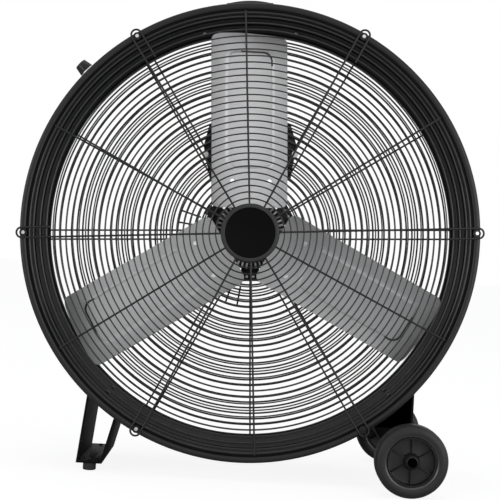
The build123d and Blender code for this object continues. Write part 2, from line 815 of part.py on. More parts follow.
with BuildPart() as switch_box:
    with BuildSketch(seat_plane(switch_turn, drum_bore - switch_box_wall)):
        Rectangle(switch_box_width, switch_box_length)
        Rectangle(
            switch_box_width - 2 * switch_box_wall,
            switch_box_length - 2 * switch_box_wall,
            mode=Mode.SUBTRACT,
        )
    extrude(amount=lid_under - drum_bore + switch_box_wall)
    add(drum_body.part, mode=Mode.SUBTRACT)
    with BuildSketch(gland_plane):
        Circle(gland_shank + hole_clearance)
    extrude(amount=-2 * switch_box_wall, mode=Mode.SUBTRACT)
save(switch_box.part, "switch_box")

with BuildPart() as switch_lid:
    with BuildSketch(seat_plane(switch_turn, lid_under)):
        Rectangle(switch_box_width, switch_box_length)
        Circle(collar_radius + hole_clearance, mode=Mode.SUBTRACT)
    extrude(amount=switch_lid_sheet)
save(switch_lid.part, "switch_lid")

with BuildPart() as rotary_switch:
    with BuildSketch(seat_plane(switch_turn, switch_body_under)):
        Rectangle(switch_body_size, switch_body_size)
    extrude(amount=switch_body_height)
    with BuildSketch(seat_plane(switch_turn, lid_under)):
        Circle(collar_radius)
    extrude(amount=switch_lid_sheet)
    with BuildSketch(seat_plane(switch_turn, switch_body_under)):
        Circle(spindle_radius + running_clearance)
    extrude(amount=switch_body_height + switch_lid_sheet, mode=Mode.SUBTRACT)
save(rotary_switch.part, "rotary_switch")

knob_base = switch_box_top + knob_gap
knob_top = knob_base + knob_height
with BuildPart() as switch_spindle:
    with BuildSketch(seat_plane(switch_turn, switch_body_under)):
        Circle(spindle_radius)
    extrude(amount=knob_base + spindle_in_knob - switch_body_under)
save(switch_spindle.part, "switch_spindle")

with BuildPart() as speed_knob:
    with BuildSketch(seat_plane(switch_turn, knob_base)):
        Circle(knob_base_radius)
    extrude(amount=knob_skirt)
    with BuildSketch(seat_plane(switch_turn, knob_base + knob_skirt)):
        Circle(knob_base_radius)
    with BuildSketch(seat_plane(switch_turn, knob_top)):
        Circle(knob_top_radius)
    loft()
    with BuildSketch(seat_plane(switch_turn, knob_base + knob_skirt)):
        with PolarLocations(knob_base_radius, knob_flutes):
            Circle(knob_flute_radius)
    extrude(amount=knob_top - knob_base - knob_skirt, mode=Mode.SUBTRACT)
    with BuildSketch(seat_plane(switch_turn, knob_base)):
        Circle(spindle_radius + hole_clearance)
    extrude(amount=spindle_in_knob + hole_clearance, mode=Mode.SUBTRACT)
save(speed_knob.part, "speed_knob")

with BuildPart() as cord_gland:
    with BuildSketch(gland_plane):
        RegularPolygon(gland_radius, 6)
    extrude(amount=gland_length / 2)
    with BuildSketch(gland_plane):
        Circle(gland_radius - switch_box_wall)
    extrude(amount=gland_length)
    with BuildSketch(gland_plane):
        Circle(gland_shank)
    extrude(amount=-2 * switch_box_wall)
    with BuildSketch(gland_plane.offset(-2 * switch_box_wall)):
        Circle(gland_bore)
    extrude(amount=gland_length + 2 * switch_box_wall, mode=Mode.SUBTRACT)
save(cord_gland.part, "cord_gland")


# ---------------------------------------------------------------- bolts through the drum wall
def wall_bolts(places):
    """Bolts with their heads on a bracket of strap thickness and their shanks in the drum wall."""
    with BuildPart() as bolts:
        for angle, y in places:
            with BuildSketch(seat_plane(angle, drum_outer + strap, y)):
                RegularPolygon(wall_bolt_head, 6)
            extrude(amount=wall_bolt_head_height)
            with BuildSketch(seat_plane(angle, drum_outer + strap, y)):
                Circle(wall_bolt_shank)
            extrude(amount=-(strap + drum_sheet + wall_bolt_overrun))
    return bolts.part


def wall_bolt_holes(places):
    """The holes for such bolts, as pins to cut away from a bracket."""
    with BuildPart() as pins:
        for angle, y in places:
            with BuildSketch(seat_plane(angle, drum_outer - strap, y)):
                Circle(wall_bolt_shank + hole_clearance)
            extrude(amount=3 * strap)
    return pins.part


# ---------------------------------------------------------------- carrying handle
grip_middle = lip_radius + handle_rise - grip_thickness / 2
with BuildPart() as handle_bar:
    with BuildSketch(face_plane(handle_y + handle_strap_width / 2, handle_angle - 90 + drum_turn)):
        with BuildLine():
            toe_middle = drum_outer + handle_strap / 2
            toe_start = 90 + degrees(asin((handle_half_foot + handle_toe) / toe_middle))
            toe_end = 90 + degrees(asin(handle_half_foot / toe_middle))
            left_toe = CenterArc((0, 0), toe_middle, toe_start, toe_end - toe_start)
            right_toe = CenterArc((0, 0), toe_middle, 180 - toe_start, toe_start - toe_end)
            Polyline(
                left_toe @ 1,
                (-handle_half_grip, grip_middle),
                (handle_half_grip, grip_middle),
                right_toe @ 1,
            )
        trace(line_width=handle_strap)
    extrude(amount=handle_strap_width)
    add(drum_body.part, mode=Mode.SUBTRACT)
    add(wall_bolt_holes(handle_bolts_at), mode=Mode.SUBTRACT)
save(handle_bar.part, "handle_bar")
save(wall_bolts(handle_bolts_at), "handle_bolts")

with BuildPart() as handle_grip:
    grip_plane = seat_plane(handle_angle + drum_turn, grip_middle, handle_y)
    with BuildSketch(Plane(grip_plane.origin, x_dir=grip_plane.y_dir, z_dir=grip_plane.x_dir)):
        RectangleRounded(grip_width, grip_thickness, grip_round)
        Rectangle(
            handle_strap_width + 2 * hole_clearance, handle_strap + 2 * hole_clearance, mode=Mode.SUBTRACT
        )
    extrude(amount=grip_half_length, both=True)
save(handle_grip.part, "handle_grip")


# ---------------------------------------------------------------- foot bracket and pads
def bracket_section(left_x, right_x, bottom_z, slopes, height=axis_height):
    """The area between two legs, from the plate at their feet up to a height or the drum wall."""
    height = min(height, axis_height - bottom_z)
    with BuildSketch() as section:
        Polygon(
            (left_x, bottom_z),
            (right_x, bottom_z),
            (right_x + height * slopes[1], bottom_z + height),
            (left_x + height * slopes[0], bottom_z + height),
            align=None,
        )
        with Locations((0, axis_height)):
            Circle(drum_outer, mode=Mode.SUBTRACT)
    return section.sketch


pad_places = [(pad_x, -pad_y), (pad_x, pad_y)]
with BuildPart() as foot_bracket:
    with BuildSketch(Plane.XZ):
        add(bracket_section(foot_left_x, foot_right_x, foot_plate_z, foot_slopes))
        offset(amount=-strap, kind=Kind.INTERSECTION, mode=Mode.SUBTRACT)
    extrude(amount=bracket_depth / 2, both=True)
    add(wall_bolt_holes(foot_bolts_at), mode=Mode.SUBTRACT)
    with BuildSketch(Plane.XY.offset(foot_plate_z)):
        with Locations(*pad_places):
            Circle(pad_screw_shank + hole_clearance)
    extrude(amount=strap, mode=Mode.SUBTRACT)
save(foot_bracket.part, "foot_bracket")
save(wall_bolts(foot_bolts_at), "foot_bracket_bolts")

with BuildPart() as foot_pads:
    with BuildSketch():
        with Locations(*pad_places):
            Circle(pad_radius)
    extrude(amount=foot_plate_z)
    with BuildSketch():
        with Locations(*pad_places):
            Circle(pad_screw_head + hole_clearance)
    extrude(amount=pad_recess + pad_screw_head_height, mode=Mode.SUBTRACT)
    with BuildSketch():
        with Locations(*pad_places):
            Circle(pad_screw_shank + hole_clearance)
    extrude(amount=foot_plate_z, mode=Mode.SUBTRACT)
save(foot_pads.part, "foot_pads")

with BuildPart() as foot_screws:
    with BuildSketch(Plane.XY.offset(pad_recess)):
        with Locations(*pad_places):
            Circle(pad_screw_head)
    extrude(amount=pad_screw_head_height)
    with BuildSketch(Plane.XY.offset(pad_recess + pad_screw_head_height)):
        with Locations(*pad_places):
            Circle(pad_screw_shank)
    extrude(amount=foot_plate_z + strap + pad_screw_overrun - pad_recess - pad_screw_head_height)
save(foot_screws.part, "foot_screws")

# ---------------------------------------------------------------- wheel bracket
with BuildPart() as wheel_bracket:
    with BuildSketch(Plane.XZ):
        add(bracket_section(wheel_bracket_left, upright_x, wheel_bracket_bottom, wheel_slopes))
        offset(amount=-strap, kind=Kind.INTERSECTION, mode=Mode.SUBTRACT)
    extrude(amount=bracket_depth / 2, both=True)
    for gusset_y, height in (
        (gusset_sheet - bracket_depth / 2, front_gusset_height),
        (bracket_depth / 2, axis_height),
    ):
        with BuildSketch(Plane.XZ.offset(-gusset_y)):
            add(
                bracket_section(
                    wheel_bracket_left, upright_x, wheel_bracket_bottom, wheel_slopes, height
                )
            )
        extrude(amount=gusset_sheet)
    with BuildSketch(Plane.XZ.offset(bracket_depth / 2)):
        with Locations((wheel_x, wheel_z)):
            Circle(axle_radius + hole_clearance)
    extrude(amount=-bracket_depth, mode=Mode.SUBTRACT)
    add(wall_bolt_holes(wheel_bolts_at), mode=Mode.SUBTRACT)
save(wheel_bracket.part, "wheel_bracket")
save(wall_bolts(wheel_bolts_at), "wheel_bracket_bolts")

# ---------------------------------------------------------------- axle and wheels
cap_inner_y = wheel_mid_y + wheel_width / 2 + side_clearance
with BuildPart() as axle:
    with BuildSketch(Plane.XZ):
        with Locations((wheel_x, wheel_z)):
            Circle(axle_radius)
    extrude(amount=cap_inner_y + axle_cap_pocket - hole_clearance, both=True)
save(axle.part, "axle")

with BuildPart() as axle_spacers:
    for side in (-1, 1):
        with BuildSketch(Plane.XZ.offset(side * bracket_depth / 2)):
            with Locations((wheel_x, wheel_z)):
                Circle(spacer_radius)
                Circle(axle_radius + hole_clearance, mode=Mode.SUBTRACT)
        extrude(amount=side * spacer_length)
save(axle_spacers.part, "axle_spacers")

with BuildPart() as axle_caps:
    for side in (-1, 1):
        with BuildSketch(Plane.XZ.offset(side * cap_inner_y)):
            with Locations((wheel_x, wheel_z)):
                Circle(axle_cap_radius)
        extrude(amount=side * axle_cap_height)
        with BuildSketch(Plane.XZ.offset(side * cap_inner_y)):
            with Locations((wheel_x, wheel_z)):
                Circle(axle_radius + hole_clearance)
        extrude(amount=side * axle_cap_pocket, mode=Mode.SUBTRACT)
save(axle_caps.part, "axle_caps")

for wheel_name, middle_y in (("front", -wheel_mid_y), ("rear", wheel_mid_y)):
    wheel_axis = Axis((wheel_x, middle_y, wheel_z), (0, 1, 0))
    with BuildPart() as tyre:
        with BuildSketch(Plane.XY.offset(wheel_z)):
            with Locations((wheel_x + (tyre_inner_radius + wheel_radius) / 2, middle_y)):
                section = Rectangle(wheel_radius - tyre_inner_radius, wheel_width)
                chamfer(section.vertices().group_by(Axis.X)[-1], tyre_shoulder)
        revolve(axis=wheel_axis)
    save(tyre.part, f"{wheel_name}_tyre")

    with BuildPart() as wheel_disc:
        with BuildSketch(Plane.XZ.offset(-middle_y)):
            with Locations((wheel_x, wheel_z)):
                Circle(tyre_inner_radius)
        extrude(amount=wheel_width / 2 - wheel_rim_inset, both=True)
        for side in (-1, 1):
            with BuildSketch(Plane.XZ.offset(-middle_y + side * wheel_web / 2)):
                with Locations((wheel_x, wheel_z)):
                    Circle(tyre_inner_radius - wheel_rim)
            extrude(amount=side * wheel_width, mode=Mode.SUBTRACT)
        with BuildSketch(Plane.XZ.offset(-middle_y)):
            with Locations((wheel_x, wheel_z)):
                with PolarLocations(0, wheel_rib_count // 2, start_angle=wheel_rib_turn):
                    Rectangle(2 * tyre_inner_radius - wheel_rim, wheel_rib)
        extrude(amount=wheel_width / 2 - wheel_rib_inset, both=True)
        with BuildSketch(Plane.XZ.offset(-middle_y)):
            with Locations((wheel_x, wheel_z)):
                Circle(wheel_hub_radius)
        extrude(amount=wheel_width / 2, both=True)
        with BuildSketch(Plane.XZ.offset(-middle_y)):
            with Locations((wheel_x, wheel_z)):
                Circle(axle_radius + running_clearance)
        extrude(amount=wheel_width / 2, both=True, mode=Mode.SUBTRACT)
    save(wheel_disc.part, f"{wheel_name}_wheel")
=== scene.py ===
"""Looks of the drum fan: the finish of every piece, with round wires, blades and wheels in full.

All lengths are in metres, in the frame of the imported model: the origin is on the floor under the
middle of the drum, +Z is up and the air leaves towards -Y.
"""

import json
import logging
import math
from dataclasses import dataclass, field
from enum import Enum, StrEnum
from typing import Callable, Iterable, Sequence

import bmesh
import bpy
import numpy as np
from mathutils import Matrix, Vector


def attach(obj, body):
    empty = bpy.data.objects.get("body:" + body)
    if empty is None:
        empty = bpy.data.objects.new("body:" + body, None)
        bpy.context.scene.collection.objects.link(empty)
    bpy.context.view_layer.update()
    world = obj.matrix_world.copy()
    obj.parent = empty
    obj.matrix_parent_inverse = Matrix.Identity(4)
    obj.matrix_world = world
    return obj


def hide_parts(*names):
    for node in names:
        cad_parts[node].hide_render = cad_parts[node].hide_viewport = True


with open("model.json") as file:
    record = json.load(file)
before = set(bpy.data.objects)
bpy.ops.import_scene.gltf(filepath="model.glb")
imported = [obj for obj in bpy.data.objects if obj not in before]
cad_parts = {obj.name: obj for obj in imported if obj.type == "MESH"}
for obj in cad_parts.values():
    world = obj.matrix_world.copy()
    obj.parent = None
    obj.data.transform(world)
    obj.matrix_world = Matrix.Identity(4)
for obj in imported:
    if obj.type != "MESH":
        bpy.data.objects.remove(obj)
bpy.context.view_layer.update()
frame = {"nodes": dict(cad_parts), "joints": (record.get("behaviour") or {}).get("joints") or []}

LOG = logging.getLogger("drum_fan")
Color = tuple[float, float, float]
Point2 = tuple[float, float]
Point3 = tuple[float, float, float]
Value = "Sock | float"
Tint = "Sock | Color"

MM = 0.001
NEAR = 1e-6                         # points closer than this are merged
COLLAPSED = NEAR / 10               # edges shorter than this are dissolved
FLAT, SOFTENED, SHARP = 1.0, 35.0, 40.0    # turns in degrees up to which faces are one face,
                                           # edges stay unbevelled and shading stays smooth
AXIS_HEIGHT = next(j for j in frame["joints"] if j["name"] == "fan_spin")["pos_m"][2]
DRUM_TURN = math.radians(3.1)       # how far drum, guards and blades are turned about the fan axis
SOFT_STEPS = 2                      # faces across a softened edge
WHITE = (1.0, 1.0, 1.0, 1.0)


# ---------------------------------------------------------------- node trees
class Sock:
    """A node's output that can be used in Python expressions."""

    def __init__(self, tree: "Tree", socket: bpy.types.NodeSocket) -> None:
        """Wrap an output of one of a tree's nodes."""
        self.tree = tree
        self.socket = socket

    def __add__(self, other: Value) -> "Sock":
        """Return the sum."""
        return self.tree.maths("ADD", self, other)

    __radd__ = __add__

    def __mul__(self, other: Value) -> "Sock":
        """Return the product."""
        return self.tree.maths("MULTIPLY", self, other)

    __rmul__ = __mul__

    def __sub__(self, other: Value) -> "Sock":
        """Return the difference."""
        return self.tree.maths("SUBTRACT", self, other)

    def __rsub__(self, other: float) -> "Sock":
        """Return the reflected difference."""
        return self.tree.maths("SUBTRACT", other, self)

    def __rtruediv__(self, other: float) -> "Sock":
        """Return a number divided by the value."""
        return self.tree.maths("DIVIDE", other, self)

    def between(self, low: float, high: float) -> "Sock":
        """Return how far the value lies from low to high, held between 0 and 1."""
        return self.tree.maths("MULTIPLY", self - low, 1 / (high - low), clamp=True)


class Tree:
    """A node tree that is filled one node at a time."""

    def __init__(self, tree: bpy.types.NodeTree) -> None:
        """Empty a tree."""
        self.tree = tree
        self.tree.nodes.clear()

    def add(
        self, kind: str, settings: dict[str, object], values: dict[int | str, object]
    ) -> bpy.types.Node:
        """Add a node. No node is made in another way.

        Args:
            kind: The node's type.
            settings: Its properties, which are set first.
            values: Values or other nodes' outputs for its inputs, by index or name.

        Returns:
            The node.
        """
        node = self.tree.nodes.new(kind)
        for key, setting in settings.items():
            setattr(node, key, setting)
        for key, value in values.items():
            if isinstance(value, Sock):
                self.tree.links.new(value.socket, node.inputs[key])
            else:
                node.inputs[key].default_value = value
        return node

    def node(
        self,
        kind: str,
        settings: dict[str, object],
        values: dict[int | str, object],
        result: int | str = 0,
    ) -> Sock:
        """Add a node, as add does, and return the output with the given index or name."""
        return Sock(self, self.add(kind, settings, values).outputs[result])

    def maths(self, operation: str, first: Value, second: Value, clamp: bool = False) -> Sock:
        """Add a Math node.

        Args:
            operation: The node's operation.
            first: Its first value.
            second: Its second value.
            clamp: Whether the result is held between 0 and 1.

        Returns:
            The node's result.
        """
        settings = {"operation": operation, "use_clamp": clamp}
        return self.node("ShaderNodeMath", settings, {0: first, 1: second})


class Shader(Tree):
    """A material's tree."""

    def __init__(self, name: str) -> None:
        """Start an empty material.

        Args:
            name: The material's name.
        """
        self.material = bpy.data.materials.new(name)
        self.material.use_nodes = True
        super().__init__(self.material.node_tree)

    def where(self, stretch: Point3 = (1.0, 1.0, 1.0)) -> Sock:
        """Return the place on the object, stretched along its axes."""
        place = self.node("ShaderNodeTexCoord", {}, {}, "Object")
        return self.node("ShaderNodeMapping", {}, {"Vector": place, "Scale": stretch})

    def noise(self, place: Sock, scale: float, detail: float = 2.0) -> Sock:
        """Return a noise value at a place."""
        values = {"Vector": place, "Scale": scale, "Detail": detail}
        return self.node("ShaderNodeTexNoise", {"noise_dimensions": "3D"}, values, "Fac")

    def blend(self, factor: Value, first: Tint, second: Tint) -> Sock:
        """Mix two colours.

        Args:
            factor: The share of the second colour.
            first: The first colour.
            second: The second colour.

        Returns:
            The mixed colour.
        """
        factor_input, first_input, second_input, color_result = 0, 6, 7, 2
        tints = [tint if isinstance(tint, Sock) else (*tint, 1.0) for tint in (first, second)]
        values = {factor_input: factor, first_input: tints[0], second_input: tints[1]}
        return self.node("ShaderNodeMix", {"data_type": "RGBA"}, values, color_result)

    def bump(self, height: Sock, distance: float, strength: float) -> Sock:
        """Return a normal that follows a height in metres times distance."""
        values = {"Height": height, "Distance": distance, "Strength": strength}
        return self.node("ShaderNodeBump", {}, values, "Normal")

    def finish(self, surface: Sock) -> bpy.types.Material:
        """Lead a surface to the material's output and return the material."""
        self.add("ShaderNodeOutputMaterial", {}, {"Surface": surface})
        return self.material


# ---------------------------------------------------------------- finishes
class Grain(Enum):
    """How a finish is grained."""

    PEEL = "orange peel of a sprayed coat"
    ROLLED = "fine lines of rolled sheet"
    TURNED = "fine lines of a lathe"
    MOULDED = "fine spark grain of a mould"

    @property
    def stretch(self) -> Point3:
        """Return by how much the grain's place is stretched along each axis."""
        lines = {Grain.ROLLED: (0.05, 1.0, 1.0), Grain.TURNED: (1.0, 0.08, 1.0)}
        return lines.get(self, (1.0, 1.0, 1.0))


@dataclass(frozen=True)
class Finish:
    """One surface finish, with colour variation, grain and uneven gloss."""

    name: str
    color: Color
    roughness: float
    grain: Grain = Grain.PEEL
    metallic: float = 0.0
    specular: float = 0.5
    tone: float = 0.12           # share by which the colour varies
    gloss_change: float = 0.06   # by how much the roughness varies
    grain_size: float = 1.2 * MM
    grain_depth: float = 0.03 * MM
    bump: float = 0.6            # strength of the grain's relief
    cloud: Point2 = (9.0, 3.0)   # scale and detail of the colour's variation
    cloud_range: Point2 = (0.3, 0.7)
    dust: float = 0.0            # share of pale dust in the noise's hollows
    dust_color: Color = (0.25, 0.24, 0.22)
    dust_cloud: Point2 = (60.0, 4.0)
    dust_range: Point2 = (0.5, 0.75)

    def make(self) -> bpy.types.Material:
        """Build the material."""
        shader = Shader(self.name)
        place = shader.where()
        cloud = shader.noise(place, *self.cloud)
        darker = tuple(c * (1 - self.tone) for c in self.color)
        lighter = tuple(min(1.0, c * (1 + self.tone)) for c in self.color)
        color = shader.blend(cloud.between(*self.cloud_range), darker, lighter)
        if self.dust:
            mask = shader.noise(place, *self.dust_cloud).between(*self.dust_range)
            color = shader.blend(mask * self.dust, color, self.dust_color)
        texture = shader.noise(shader.where(self.grain.stretch), 1 / self.grain_size)
        uneven = texture * self.gloss_change + cloud * self.gloss_change
        looks = {
            "Base Color": color,
            "Roughness": uneven + (self.roughness - self.gloss_change),
            "Metallic": self.metallic,
            "Specular IOR Level": self.specular,
            "Normal": shader.bump(texture, self.grain_depth, self.bump),
        }
        return shader.finish(shader.node("ShaderNodeBsdfPrincipled", {}, looks))


class Palette:
    """The fan's finishes, made once each."""

    finishes = {
        "lip": Finish("lip_paint", (0.011, 0.011, 0.0113), 0.4, specular=0.26),
        # painted shade: the inner skin and the grooves get a darker, duller copy of the lip's
        # paint; the dust is real
        "wall": Finish(
            "wall_paint", (0.0055, 0.0055, 0.0057), 0.62, specular=0.06, tone=0.2, dust=0.01
        ),
        # painted shade: the spokes get a darker, less glossy copy of the rings' wire paint
        "spoke": Finish(
            "spoke_paint", (0.007, 0.007, 0.0072), 0.4, specular=0.35, grain_size=2 * MM
        ),
        "wire": Finish("wire_paint", (0.01, 0.01, 0.0103), 0.32, grain_size=2 * MM),
        "blade": Finish(
            "blade_sheet", (0.5, 0.5, 0.505), 0.46, Grain.ROLLED, metallic=0.35, tone=0.03,
            grain_size=4 * MM, grain_depth=0.01 * MM,
        ),
        # painted highlight: a lighter copy of the blade sheet on the panel's edge ramps, standing
        # in for glints of the softboxes
        "painted_highlight": Finish(
            "burnished_sheet", (0.58, 0.58, 0.585), 0.4, Grain.ROLLED, metallic=0.35, tone=0.02
        ),
        # painted shadow: a dark finish along the crease round the panel's tip end
        "crease": Finish(
            "crease_shadow", (0.06, 0.06, 0.061), 0.6, Grain.ROLLED, specular=0.2
        ),
        "badge_rim": Finish("badge_rim", (0.022, 0.022, 0.0225), 0.35, specular=0.3),
        "badge_face": Finish("badge_face", (0.0025, 0.0025, 0.0026), 0.3, specular=0.05),
        "motor": Finish("motor_paint", (0.016, 0.016, 0.0164), 0.5, specular=0.3, dust=0.02),
        "bracket": Finish(
            "bracket_paint", (0.005, 0.005, 0.0051), 0.55, specular=0.04, dust=0.005
        ),
        "zinc": Finish(
            "zinc_plate", (0.62, 0.62, 0.61), 0.3, Grain.TURNED, metallic=1.0, tone=0.06
        ),
        "dark_zinc": Finish("blackened_steel", (0.012, 0.012, 0.012), 0.4, specular=0.2),
        "steel": Finish("turned_steel", (0.42, 0.42, 0.43), 0.28, Grain.TURNED, metallic=1.0),
        "core": Finish("core_steel", (0.25, 0.25, 0.26), 0.5, Grain.TURNED, metallic=1.0),
        "cast": Finish(
            "cast_aluminium", (0.88, 0.88, 0.88), 0.38, Grain.MOULDED, metallic=0.6, tone=0.06
        ),
        "rivet": Finish(
            "rivet_aluminium", (0.85, 0.85, 0.85), 0.35, Grain.TURNED, metallic=0.9, tone=0.02
        ),
        "plastic": Finish(
            "box_plastic", (0.013, 0.013, 0.0133), 0.5, Grain.MOULDED, specular=0.3,
            grain_size=0.6 * MM,
        ),
        "knob": Finish(
            "knob_plastic", (0.008, 0.008, 0.008), 0.42, Grain.MOULDED, specular=0.3,
            grain_size=0.6 * MM,
        ),
        "wheel": Finish(
            "wheel_plastic", (0.011, 0.011, 0.0113), 0.42, Grain.MOULDED, specular=0.25,
            grain_size=0.8 * MM,
        ),
        "cap": Finish("cap_plastic", (0.001, 0.001, 0.001), 0.6, Grain.MOULDED, specular=0.0),
        "rubber": Finish(
            "foot_rubber", (0.022, 0.022, 0.0215), 0.7, Grain.MOULDED, specular=0.25, dust=0.04
        ),
        "tyre": Finish(
            "tyre_rubber", (0.012, 0.012, 0.012), 0.5, Grain.MOULDED, specular=0.28, dust=0.01
        ),
        # the bead band is glossier rubber, and its lighter colour is a painted highlight
        "tyre_lip": Finish("tyre_lip", (0.02, 0.02, 0.02), 0.28, Grain.MOULDED, specular=0.7),
    }

    def __init__(self) -> None:
        """Start with no material made."""
        self._made: dict[str, bpy.types.Material] = {}

    def __getitem__(self, name: str) -> bpy.types.Material:
        """Return a finish's material, made at first use.

        Args:
            name: Name of the finish.

        Returns:
            The material.
        """
        if name not in self._made:
            self._made[name] = self.finishes[name].make()
        return self._made[name]


PALETTE = Palette()


def paint(nodes: Iterable[str], finish: str) -> None:
    """Give CAD nodes a finish.

    Args:
        nodes: Names of the nodes.
        finish: Name of the finish in the palette.
    """
    for name in nodes:
        slots = frame["nodes"][name].data.materials
        slots.clear()
        slots.append(PALETTE[finish])
    LOG.info("painted %s: %s", finish, ", ".join(nodes))


# ---------------------------------------------------------------- meshes
def add_object(name: str, data: bpy.types.ID) -> bpy.types.Object:
    """Put a new object with the given data into the scene.

    Args:
        name: The object's name.
        data: Its mesh, curve, lamp or camera.

    Returns:
        The object.
    """
    made = bpy.data.objects.new(name, data)
    bpy.context.scene.collection.objects.link(made)
    return made


def turn_outwards(mesh: bpy.types.Mesh) -> None:
    """Merge a mesh's doubles and turn its faces outwards.

    Args:
        mesh: The mesh.
    """
    work = bmesh.new()
    work.from_mesh(mesh)
    bmesh.ops.remove_doubles(work, verts=work.verts, dist=NEAR)
    bmesh.ops.dissolve_degenerate(work, dist=COLLAPSED, edges=work.edges)
    bmesh.ops.recalc_face_normals(work, faces=work.faces)
    work.to_mesh(mesh)
    work.free()


def new_piece(
    name: str,
    points: np.ndarray,
    faces: Sequence[Sequence[int]],
    finishes: Sequence[str],
    marks: Sequence[int] | None = None,
    smooth: bool = True,
) -> bpy.types.Object:
    """Make a mesh object at the origin, with its doubles merged and its faces turned outwards.

    Args:
        name: The piece's name.
        points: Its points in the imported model's frame.
        faces: Its faces, by point index.
        finishes: Names of its finishes, one per material slot.
        marks: The index of each face's finish, where it has more than one.
        smooth: Whether its faces are shaded smooth.

    Returns:
        The object.
    """
    mesh = bpy.data.meshes.new(name)
    mesh.from_pydata([tuple(p) for p in points], [], [tuple(f) for f in faces])
    mesh.validate()
    mesh.polygons.foreach_set("use_smooth", [smooth] * len(mesh.polygons))
    for finish in finishes:
        mesh.materials.append(PALETTE[finish])
    if marks is not None:
        mesh.polygons.foreach_set("material_index", marks)
    turn_outwards(mesh)
    return add_object(name, mesh)


def place(piece: bpy.types.Object, body: str, slot: str, *nodes: str) -> None:
    """Let a finished piece ride on a body and stand for CAD nodes.

    Args:
        piece: The piece.
        body: The body that it rides on.
        slot: The slot that its material belongs to; not used.
        nodes: The CAD nodes that it replaces.
    """
    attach(piece, body)
    if nodes:
        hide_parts(*nodes)
    LOG.info("%s on %s: %d faces", piece.name, body, len(piece.data.polygons))


def from_table(table: Iterable[Point2], start: float = 0.0, way: int = 1) -> list[Point2]:
    """Turn a table of sizes into an outline for the lathe.

    Args:
        table: Radius and depth of each point, in mm.
        start: Y at depth 0.
        way: Whether the depth runs to the back (1) or to the front (-1).

    Returns:
        The outline in metres.
    """
    return [(radius * MM, start + way * depth * MM) for radius, depth in table]


def arc(center: Point2, radius: float, start: float, end: float, steps: int) -> list[Point2]:
    """Return points on an arc, angles in degrees."""
    turns = np.radians(np.linspace(start, end, steps + 1))
    return [(center[0] + radius * math.cos(t), center[1] + radius * math.sin(t)) for t in turns]


def rounded(points: Sequence[Point2], radius: float, steps: int = 3) -> list[Point2]:
    """Round the corners of a closed outline.

    Args:
        points: The outline's corners.
        radius: The rounding, less where an edge is short.
        steps: Edges per rounding.

    Returns:
        The rounded outline.
    """
    share = 0.45                 # of an edge that a rounding may take up
    out: list[Point2] = []
    for i, corner in enumerate(points):
        here = np.array(corner, float)
        back = np.array(points[i - 1], float) - here
        on = np.array(points[(i + 1) % len(points)], float) - here
        reach = min(radius, share * np.linalg.norm(back), share * np.linalg.norm(on))
        first = here + back / np.linalg.norm(back) * reach
        last = here + on / np.linalg.norm(on) * reach
        for t in np.linspace(0, 1, steps + 1):
            spot = (1 - t) ** 2 * first + 2 * t * (1 - t) * here + t**2 * last
            out.append((float(spot[0]), float(spot[1])))
    return out


def lathe(
    name: str,
    outline: Sequence[Point2],
    center: Point2,
    finishes: Sequence[str],
    segments: int,
    pick: Callable[[Point2], int] | None = None,
) -> bpy.types.Object:
    """Turn a closed outline about an axis along Y.

    Args:
        name: The piece's name.
        outline: Points (radius, y), in order round the section.
        center: X and Z of the axis.
        finishes: Names of the finishes.
        segments: Steps round the axis.
        pick: Gives the finish's index for a face from its middle (radius, y).

    Returns:
        The object.
    """
    radius, depth = np.array(outline, float).T
    turns = np.linspace(0, 2 * math.pi, segments, endpoint=False)
    x = center[0] + np.outer(np.cos(turns), radius)
    z = center[1] + np.outer(np.sin(turns), radius)
    points = np.stack([x, np.broadcast_to(depth, x.shape), z], axis=-1).reshape(-1, 3)
    count = len(outline)
    faces, marks = [], []
    for i in range(segments):
        j = (i + 1) % segments
        for a in range(count):
            b = (a + 1) % count
            if max(radius[a], radius[b]) < NEAR:
                continue
            faces.append((i * count + a, i * count + b, j * count + b, j * count + a))
            middle = ((radius[a] + radius[b]) / 2, (depth[a] + depth[b]) / 2)
            marks.append(pick(middle) if pick else 0)
    return new_piece(name, points, faces, finishes, marks)


def move_points(mesh: bpy.types.Mesh, move: Callable[[np.ndarray], np.ndarray]) -> None:
    """Move a mesh's points, all at once, by a function of them.

    Args:
        mesh: The mesh.
        move: Takes the points and returns them moved.
    """
    points = np.empty(len(mesh.vertices) * 3)
    mesh.vertices.foreach_get("co", points)
    mesh.vertices.foreach_set("co", move(points.reshape(-1, 3)).ravel())


